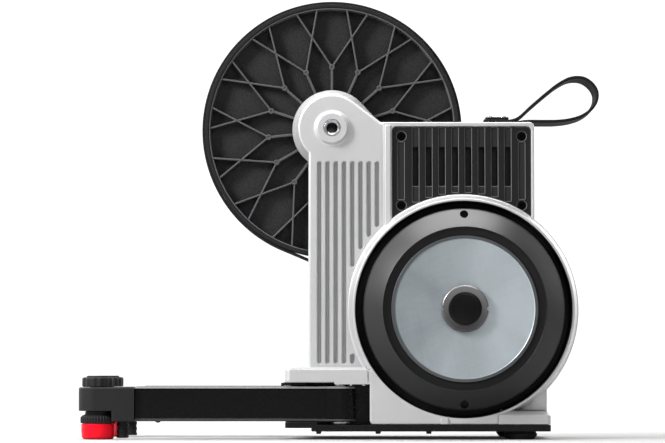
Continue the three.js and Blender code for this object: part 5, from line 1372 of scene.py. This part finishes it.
def end_cap_shells(side):
    """Rounded block over the foot with a step up to the ring, and a ribbed post behind it. The lower
    block's corners within the ring's reach are pushed out radially to a circle round the foot."""
    y, half = side * LEG.y, CAP.half
    left, right, foot = CAP.left, LEG.end - GAP, np.array([FOOT.x, side * LEG.y])
    upper = prism(np.concatenate([
        arc((left + half, y), half, QUARTER, 1.5 * math.pi, 56), [(right, y - half), (right, y + half)]]),
        soft(CAP.step_low, CAP.high, 0.9, 1.8, 5), axis="Z")
    verts, faces = prism(
        panel(CAP.step, y - half + 0.02, right - 0.02, y + half - 0.02, 2.0, 0.0, 0.0, 2.0),
        soft(CAP.low, CAP.high - 2.2, 0.9), axis="Z")
    ring_cut = FOOT.ring + 0.7
    off = verts[:, :2] - foot
    reach = np.linalg.norm(off, axis=1)
    inside = (reach < ring_cut) & (verts[:, 2] < CAP.step_low + 0.5)
    verts[inside, :2] = foot + off[inside] * (ring_cut / reach[inside])[:, None]
    base, end = CAP.post_low, CAP.low + 1.5
    rows = [(0.0, base), (4.6, base)]
    pitch = (CAP.low - base) / CAP.post_ribs
    for k in range(CAP.post_ribs):
        z = base + k * pitch
        rows += [(6.2, z + 0.1), (6.6, z + 0.5), (6.6, z + pitch / 2 - 0.5), (6.0, z + pitch / 2),
                 (6.0, z + pitch - 0.1)]
    rows += [(6.0, end), (0.0, end)]
    return [upper, (verts, faces), turned(rows, (CAP.post, y), axis="Z", segments=56)]


def knob_shells(side):
    """Grip with soft flutes, a turned collar and a shallow dished top."""
    radius, low, high, disc, top = KNOB.radius, KNOB.low, KNOB.high, KNOB.disc, KNOB.disc_high
    depth = KNOB.depth
    return [turned([
        (0.0, low), (radius - 1.6, low, 0.3), (radius - 0.5, low + 0.4, depth * 0.7),
        (radius, low + 1.2, depth), (radius, high - 1.9, depth), (radius - 0.4, high - 0.8, depth * 0.8),
        (radius - 1.4, high - 0.15, depth * 0.3), (radius - 2.4, high), (disc + 0.5, high),
        (disc + 0.1, high + 0.3), (disc, top - 0.6), (disc - 0.7, top), (disc - 2.4, top),
        (disc - 3.0, top - 0.7), (4.0, top - 0.9), (0.0, top - 0.9),
    ], (FOOT.x, side * LEG.y), axis="Z", segments=336, wave=comb(KNOB.flutes))]


def foot_ring_shells(side):
    """Knurled ring with a domed top and a collar that meets the cap, on a threaded stem."""
    depth, collar, stem, end = 0.9, CAP.step_low - GAP, FOOT.stem, FOOT.stem_top
    low, high, r = FOOT.ring_low + GAP, FOOT.ring_top, FOOT.ring
    rows = [
        (0.0, low), (r - 1.8, low, 0.3), (r - 0.6, low + 0.3, depth * 0.6), (r, low + 1.1, depth),
        (r, high - 4.0, depth), (r - 0.5, high - 3.0, depth * 0.9), (r - 1.8, high - 1.8, depth * 0.4),
        (r - 4.0, high - 0.7), (r - 5.2, high - 0.2), (r - 5.4, collar - 0.4), (r - 5.8, collar),
        (stem, collar),
    ]
    for k in range(FOOT.turns):
        z = collar + 0.2 + k * FOOT.pitch
        rows += [(stem - 0.55, z), (stem, z + 0.6)]
    rows += [(stem - 0.6, end), (0.0, end)]
    return [turned(rows, (FOOT.x, side * LEG.y), axis="Z", segments=360,
                   wave=teeth(FOOT.knurls, 0.5, 5.0))]


def foot_pad_shells(side):
    """Round red pad with a large rounding below, a waist and a flat top."""
    pad, top = FOOT.pad, FOOT.ring_low
    return [lathe([
        (0.0, 0.3), (9.0, 0.3), (10.0, 0.0, 0.3), (pad - 1.0, 0.0, FOOT.pad_edge - 1.0),
        (pad, 9.0, 6.0), (pad, top, 0.5), (0.0, top),
    ], (FOOT.x, side * LEG.y), axis="Z", segments=144, steps=7)]


def pin_shells(side):
    """Pivot bolt: a chamfered hexagon nut under the leg, its shank and a flanged head on top."""
    centre = (LEG.pivot, side * LEG.y)
    nut = turned([
        (0.0, 9.8), (5.4, 9.8), (5.6, 9.6), (8.8, 9.6), (10.2, 10.3, 10.4), (10.7, 10.9, 10.7),
        (10.7, 15.9, 10.7), (10.2, 16.6, 10.4), (9.2, 17.0), (0.0, 17.0),
    ], centre, axis="Z", segments=180, wave=hexagon)
    shank, washer = [lathe(profile, centre, axis="Z", segments=72) for profile in (
        [(0.0, 16.0), (6.0, 16.0), (6.0, 74.0, 0.6), (0.0, 74.0)],
        [(6.2, 17.1), (11.6, 17.1, 0.4), (11.6, 19.3, 0.4), (6.2, 19.3)])]
    return [nut, shank, washer]


def tab_shells(side):
    """Spring release tab: thin tongue with a thicker lip and three grip lines."""
    t, y, top = TAB, side * LEG.y, BASE.front_under - GAP
    low = top - t.thick
    return [prism(plan, levels, axis="Z") for plan, levels in (
        (panel(t.left, y - t.half, t.right, y + t.half, 2.0, 0.5, 0.5, 2.0), soft(low, top, 0.5, 0.5)),
        (panel(t.left, y - t.lip_half, t.lip_right, y + t.lip_half, 1.9, 0.5, 0.5, 1.9),
         soft(low - 0.5, low + 1.0, 0.4)),
        *((panel(x, y - t.grip_half, x + t.grip, y + t.grip_half, 0.3),
           soft(low - 0.45, low + 0.5, 0.3)) for x in t.grips),
    )]


# Sizes and colours that a user would change

def pick(title, text, value):
    """A base colour with its default."""
    return FloatVectorProperty(name=title, description=text, subtype="COLOR", size=3, min=0.0, max=1.0,
                               default=value)


def measure(title, text, millimetres):
    """A length with its default, kept in metres."""
    return FloatProperty(name=title, description=text, subtype="DISTANCE", unit="LENGTH", min=0.0,
                         default=millimetres * MM, precision=4)


class TrainerColours(bpy.types.PropertyGroup):
    """Base colours of the main finishes"""
    silver: pick("Casting", "Powder coat of the cast arm, tower and base", (0.56, 0.56, 0.565))
    black_paint: pick("Painted steel", "Coat of the legs and the base plate", (0.0045, 0.0045, 0.005))
    black_plastic: pick("Plastic", "Moulded caps, knobs, grille and side cover", (0.011, 0.011, 0.012))
    iron: pick("Flywheel", "Coat of the flywheel's outer ring", (0.042, 0.042, 0.043))
    zinc: pick("Disc", "Zinc plated disc on the flywheel", (0.41, 0.455, 0.48))
    red: pick("Feet", "Elastomer pads under the legs", (0.86, 0.004, 0.018))


class TrainerSizes(bpy.types.PropertyGroup):
    """Sizes that can be changed without moving a piece off what carries it"""
    strap_thickness: measure("Strap", "Thickness of the carry strap", 3.2)
    leg_band: measure("Leg band", "Height of the proud bands along each leg", 3.0)


def size(name):
    """One of the sizes above, in millimetres."""
    return getattr(bpy.context.scene.trainer_sizes, name) / MM


# Operators

class TRAINER_OT_stage(bpy.types.Operator):
    """Floor, soft lights and the camera"""
    bl_idname = "trainer.stage"
    bl_label = "Stage"

    def execute(self, context):
        make_floor()
        make_lights()
        make_camera()
        return {"FINISHED"}


class TRAINER_OT_casting(bpy.types.Operator):
    """The cast body: arm, tower, dish round the flywheel, base and platform"""
    bl_idname = "trainer.casting"
    bl_label = "Casting"

    def execute(self, context):
        silver = cast_silver()
        for name, shells, material, slot in (
            ("casting_arm", arm_shells, silver, "cast_silver"),
            ("casting_tower", tower_shells, silver, "cast_silver"),
            ("casting_dish", drum_shells, silver, "cast_silver"),
            ("casting_base", base_shells, silver, "cast_silver"),
            ("casting_platform", platform_shells, silver, "cast_silver"),
            # Painted shade: the column gets a black finish, standing in for the shadow under the platform.
            ("base_column", column_shells, satin_black(), "black_plate"),
            ("platform_studs", stud_shells, bare_steel(), "steel"),
            ("dish_liner", liner_shells, recess_black(), "black_plastic"),
        ):
            build(name, shells(), material, "main_casting", slot)
        return {"FINISHED"}


class TRAINER_OT_wheel(bpy.types.Operator):
    """Belt wheel, belt, axle with its end rings and the freehub body"""
    bl_idname = "trainer.wheel"
    bl_label = "Belt wheel and axle"

    def execute(self, context):
        build("ribbed_wheel", wheel_shells(), wheel_plastic(), "belt_wheel", "wheel_plastic", "wheel_unit")
        build("belt_loop", belt_shells(), black_rubber(), "drive_belt", "belt_rubber")
        build("axle_tube", axle_shells(), recess_black(), "hollow_axle", "dark_steel")
        for side, word in SIDES:
            build(f"adaptor_{word}", adaptor_shells(side), bare_steel(), f"frame_adaptor_{word}",
                  "dark_steel")
        build("splined_body", freehub_shells(), bare_steel(), "freehub_body", "steel", "freehub",
              FINE_CREASE)
        return {"FINISHED"}


class TRAINER_OT_flywheel(bpy.types.Operator):
    """Flywheel ring, zinc plated disc, lock nut and end cap"""
    bl_idname = "trainer.flywheel"
    bl_label = "Flywheel"

    def execute(self, context):
        body = "flywheel_unit"
        ring = build("flywheel_ring", flywheel_shells(), turned_iron(), "flywheel", "flywheel_iron", body,
                     weighted=False)
        drill(ring, balance_holes())
        build("plated_disc", disc_shells(), zinc_plate(), "flywheel_disc", "zinc_plate", body)
        build("lock_nut", nut_shells(), gunmetal(), "flywheel_nut", "dark_steel", body)
        build("nut_cap", cap_shells(), cap_black(), "flywheel_nut_cap", "black_plastic", body)
        return {"FINISHED"}


def corner_bolts(kind, head):
    """Four screws of a panel, each on the middle of its CAD screw: head makes one from its centre
    and the near and the far end of that screw."""
    for i in range(1, 5):
        low, high = node_span(f"{kind}_screw_{i}")
        x, _, z = (low + high) / 2
        build(f"{kind}_bolt_{i}", [head(x, z, low[1], high[1])], recessed_black(), f"{kind}_screw_{i}",
              "dark_steel")


class TRAINER_OT_case(bpy.types.Operator):
    """Vent grille, side cover, their screws and the power inlet"""
    bl_idname = "trainer.case"
    bl_label = "Grille and covers"

    def execute(self, context):
        black = moulded_black()
        build("grille_panel", grille_shells(), grille_plastic(), "vent_grille", "black_plastic")
        corner_bolts("grille", lambda x, z, near, far: screw_shells(x, z, near, 4.4, 1.6, 2.0))
        build("side_cover", cover_shells(), black, "drive_side_cover", "black_plastic")
        corner_bolts("cover", lambda x, z, near, far: screw_shells(
            x, z, far + 0.4, 4.5, 2.2, 2.2, away=1.0))
        build("socket_ring", inlet_shells(), black, "power_inlet", "black_plastic")
        return {"FINISHED"}


class TRAINER_OT_strap(bpy.types.Operator):
    """Carry strap with its clamp plate and two screws"""
    bl_idname = "trainer.strap"
    bl_label = "Carry strap"

    def execute(self, context):
        build("strap_loop", strap_shells(), strap_skin(), "carry_strap", "strap_rubber")
        build("clamp_bar", clamp_shells(), satin_black(), "strap_clamp_plate", "black_plate")
        for i, x in ((1, STRAP.left + STRAP.screw_in), (2, STRAP.right - STRAP.screw_in)):
            build(f"clamp_bolt_{i}", strap_screw_shells(x), bare_steel(), f"strap_screw_{i}", "steel")
        return {"FINISHED"}


class TRAINER_OT_base(bpy.types.Operator):
    """Steel base plate and its two rubber feet"""
    bl_idname = "trainer.base"
    bl_label = "Base plate and rear feet"

    def execute(self, context):
        build("floor_plate", base_plate_shells(), satin_black(), "base_plate", "black_plate")
        for side, word in SIDES:
            build(f"rubber_foot_{word}", rear_foot_shells(side), black_rubber(), f"rear_foot_{word}",
                  "foot_rubber")
        return {"FINISHED"}


class TRAINER_OT_legs(bpy.types.Operator):
    """Folding legs with end caps, levelling feet, knobs, pivot bolts and release tabs"""
    bl_idname = "trainer.legs"
    bl_label = "Legs"

    def execute(self, context):
        paint, black = leg_black(), moulded_black()
        for side, word in SIDES:
            for name, shells, material, node, slot, body, *crease in (
                ("leg_bar", tube_shells, paint, "leg_tube", "black_plate", "leg"),
                ("leg_tip", end_cap_shells, black, "leg_end_cap", "black_plastic", "leg"),
                ("grip_knob", knob_shells, black, "height_knob", "black_plastic", "knob", FINE_CREASE),
                ("foot_ring", foot_ring_shells, black, "foot_stem", "black_plastic", "foot", FINE_CREASE),
                ("red_pad", foot_pad_shells, red_elastomer(), "foot_pad", "foot_red", "foot"),
                ("pivot_bolt", pin_shells, bare_steel(), "leg_pivot_pin", "steel", ""),
                ("release_tongue", tab_shells, black, "leg_release_tab", "black_plastic", "release_tab"),
            ):
                build(f"{name}_{word}", shells(side), material, f"{node}_{word}", slot,
                      f"{body}_{word}" if body else "frame", *crease)
        return {"FINISHED"}


class TRAINER_OT_inner(bpy.types.Operator):
    """Finishes of the pieces inside the case, which keep their CAD shapes"""
    bl_idname = "trainer.inner"
    bl_label = "Inner pieces"

    def execute(self, context):
        dress(bare_steel(), "wheel_bearing_near", "wheel_bearing_far", "flywheel_bearing_near",
              "flywheel_bearing_far", "drive_pulley", "idler_bolt", "flywheel_shaft")
        dress(moulded_black(), "belt_idler")
        dress(satin_black(), "brake_coil_carrier")
        dress(copper_winding(), *[f"brake_coil_{i}" for i in range(1, 7)])
        dress(circuit_board(), "control_board")
        return {"FINISHED"}


class TRAINER_PT_panel(bpy.types.Panel):
    """Sidebar panel with the sizes, the colours and one button for each group of pieces"""
    bl_idname = "TRAINER_PT_panel"
    bl_label = "Bike trainer"
    bl_space_type = "VIEW_3D"
    bl_region_type = "UI"
    bl_category = "Trainer"

    def draw(self, context):
        for group in (context.scene.trainer_sizes, context.scene.trainer_colours):
            for name in group.__annotations__:
                self.layout.prop(group, name)
        for step in STEPS:
            self.layout.operator(step.bl_idname)


STEPS = (TRAINER_OT_stage, TRAINER_OT_casting, TRAINER_OT_wheel, TRAINER_OT_flywheel, TRAINER_OT_case,
         TRAINER_OT_strap, TRAINER_OT_base, TRAINER_OT_legs, TRAINER_OT_inner)


# Stage

CAMERA = Sizes(x=0.5, y=-3071.0, z=72.0, pitch=3.151, lens=149.0)
MIDDLE = (0.0, 0.0, 0.22)
LIGHTS = (
    ("key_box", (-1.5, -0.95, 1.2), MIDDLE, 0.5, 0.7, 58.0),
    ("front_box", (0.5, -1.8, 1.45), MIDDLE, 0.9, 0.9, 12.0),
    ("left_box", (-1.2, 0.8, 0.9), MIDDLE, 0.8, 0.9, 9.0),
    ("right_box", (1.2, 0.8, 0.8), MIDDLE, 0.8, 0.9, 11.0),
    ("top_box", (0.0, 0.0, 1.5), (0.0, 0.0, 0.2), 1.4, 0.6, 34.0),
)


def make_floor():
    """Pale round floor whose rim curves up into a wall: a straight run, a quarter circle and an
    upright, turned about Z."""
    reach, bend, height, count = 5.6, 1.4, 3.6, 96
    t = np.linspace(0.0, QUARTER, 17)
    run = np.concatenate([[0.6], reach + bend * np.sin(t), [reach + bend]])
    rise = np.concatenate([[0.0], bend * (1.0 - np.cos(t)), [height]])
    angle = np.linspace(0.0, TAU, count, endpoint=False)
    rings = along_axis("Z", run[:, None] * np.cos(angle), run[:, None] * np.sin(angle), rise[:, None])
    mesh = bpy.data.meshes.new("pale_floor")
    mesh.from_pydata(rings.reshape(-1, 3).tolist(), [],
                     [*quads_between(len(run), count)[:, ::-1].tolist(), list(range(count))])
    mesh.polygons.foreach_set("use_smooth", np.ones(len(mesh.polygons), bool))
    mesh.materials.append(floor_white())
    add_object("pale_floor", mesh)


def make_lights():
    """Soft boxes turned from their place to their aim, and a faint white world."""
    for name, spot, aim, width, height, power in LIGHTS:
        data = bpy.data.lights.new(name, "AREA")
        data.shape = "RECTANGLE"
        data.size, data.size_y, data.energy = width, height, power
        turn = (Vector(aim) - Vector(spot)).to_track_quat("-Z", "Y")
        add_object(name, data).matrix_world = Matrix.Translation(spot) @ turn.to_matrix().to_4x4()
    world = bpy.data.worlds.new("soft_white")
    world.use_nodes = True
    background = world.node_tree.nodes["Background"]
    background.inputs["Color"].default_value = (1.0, 1.0, 1.0, 1.0)
    background.inputs["Strength"].default_value = 0.05
    bpy.context.scene.world = world


def make_camera():
    """A long lens set low in front, tilted a little upwards."""
    data = bpy.data.cameras.new("view")
    data.lens = CAMERA.lens
    data.sensor_width = 36.0
    data.clip_end = 40.0
    camera = add_object("view", data)
    camera.location = place((CAMERA.x, CAMERA.y, CAMERA.z))
    camera.rotation_euler = (math.radians(90.0 + CAMERA.pitch), 0.0, 0.0)
    bpy.context.scene.camera = camera
    bpy.context.scene.view_settings.view_transform = "Standard"


CLASSES = (TrainerColours, TrainerSizes, *STEPS, TRAINER_PT_panel)


def register():
    for item in CLASSES:
        bpy.utils.register_class(item)
    bpy.types.Scene.trainer_colours = PointerProperty(type=TrainerColours)
    bpy.types.Scene.trainer_sizes = PointerProperty(type=TrainerSizes)


def unregister():
    del bpy.types.Scene.trainer_sizes
    del bpy.types.Scene.trainer_colours
    for item in reversed(CLASSES):
        bpy.utils.unregister_class(item)


def run(step):
    """Calls one operator through bpy.ops."""
    group, name = step.bl_idname.split(".")
    getattr(getattr(bpy.ops, group), name)()


def main():
    register()
    for step in STEPS:
        run(step)


if __name__ == "__main__":
    main()
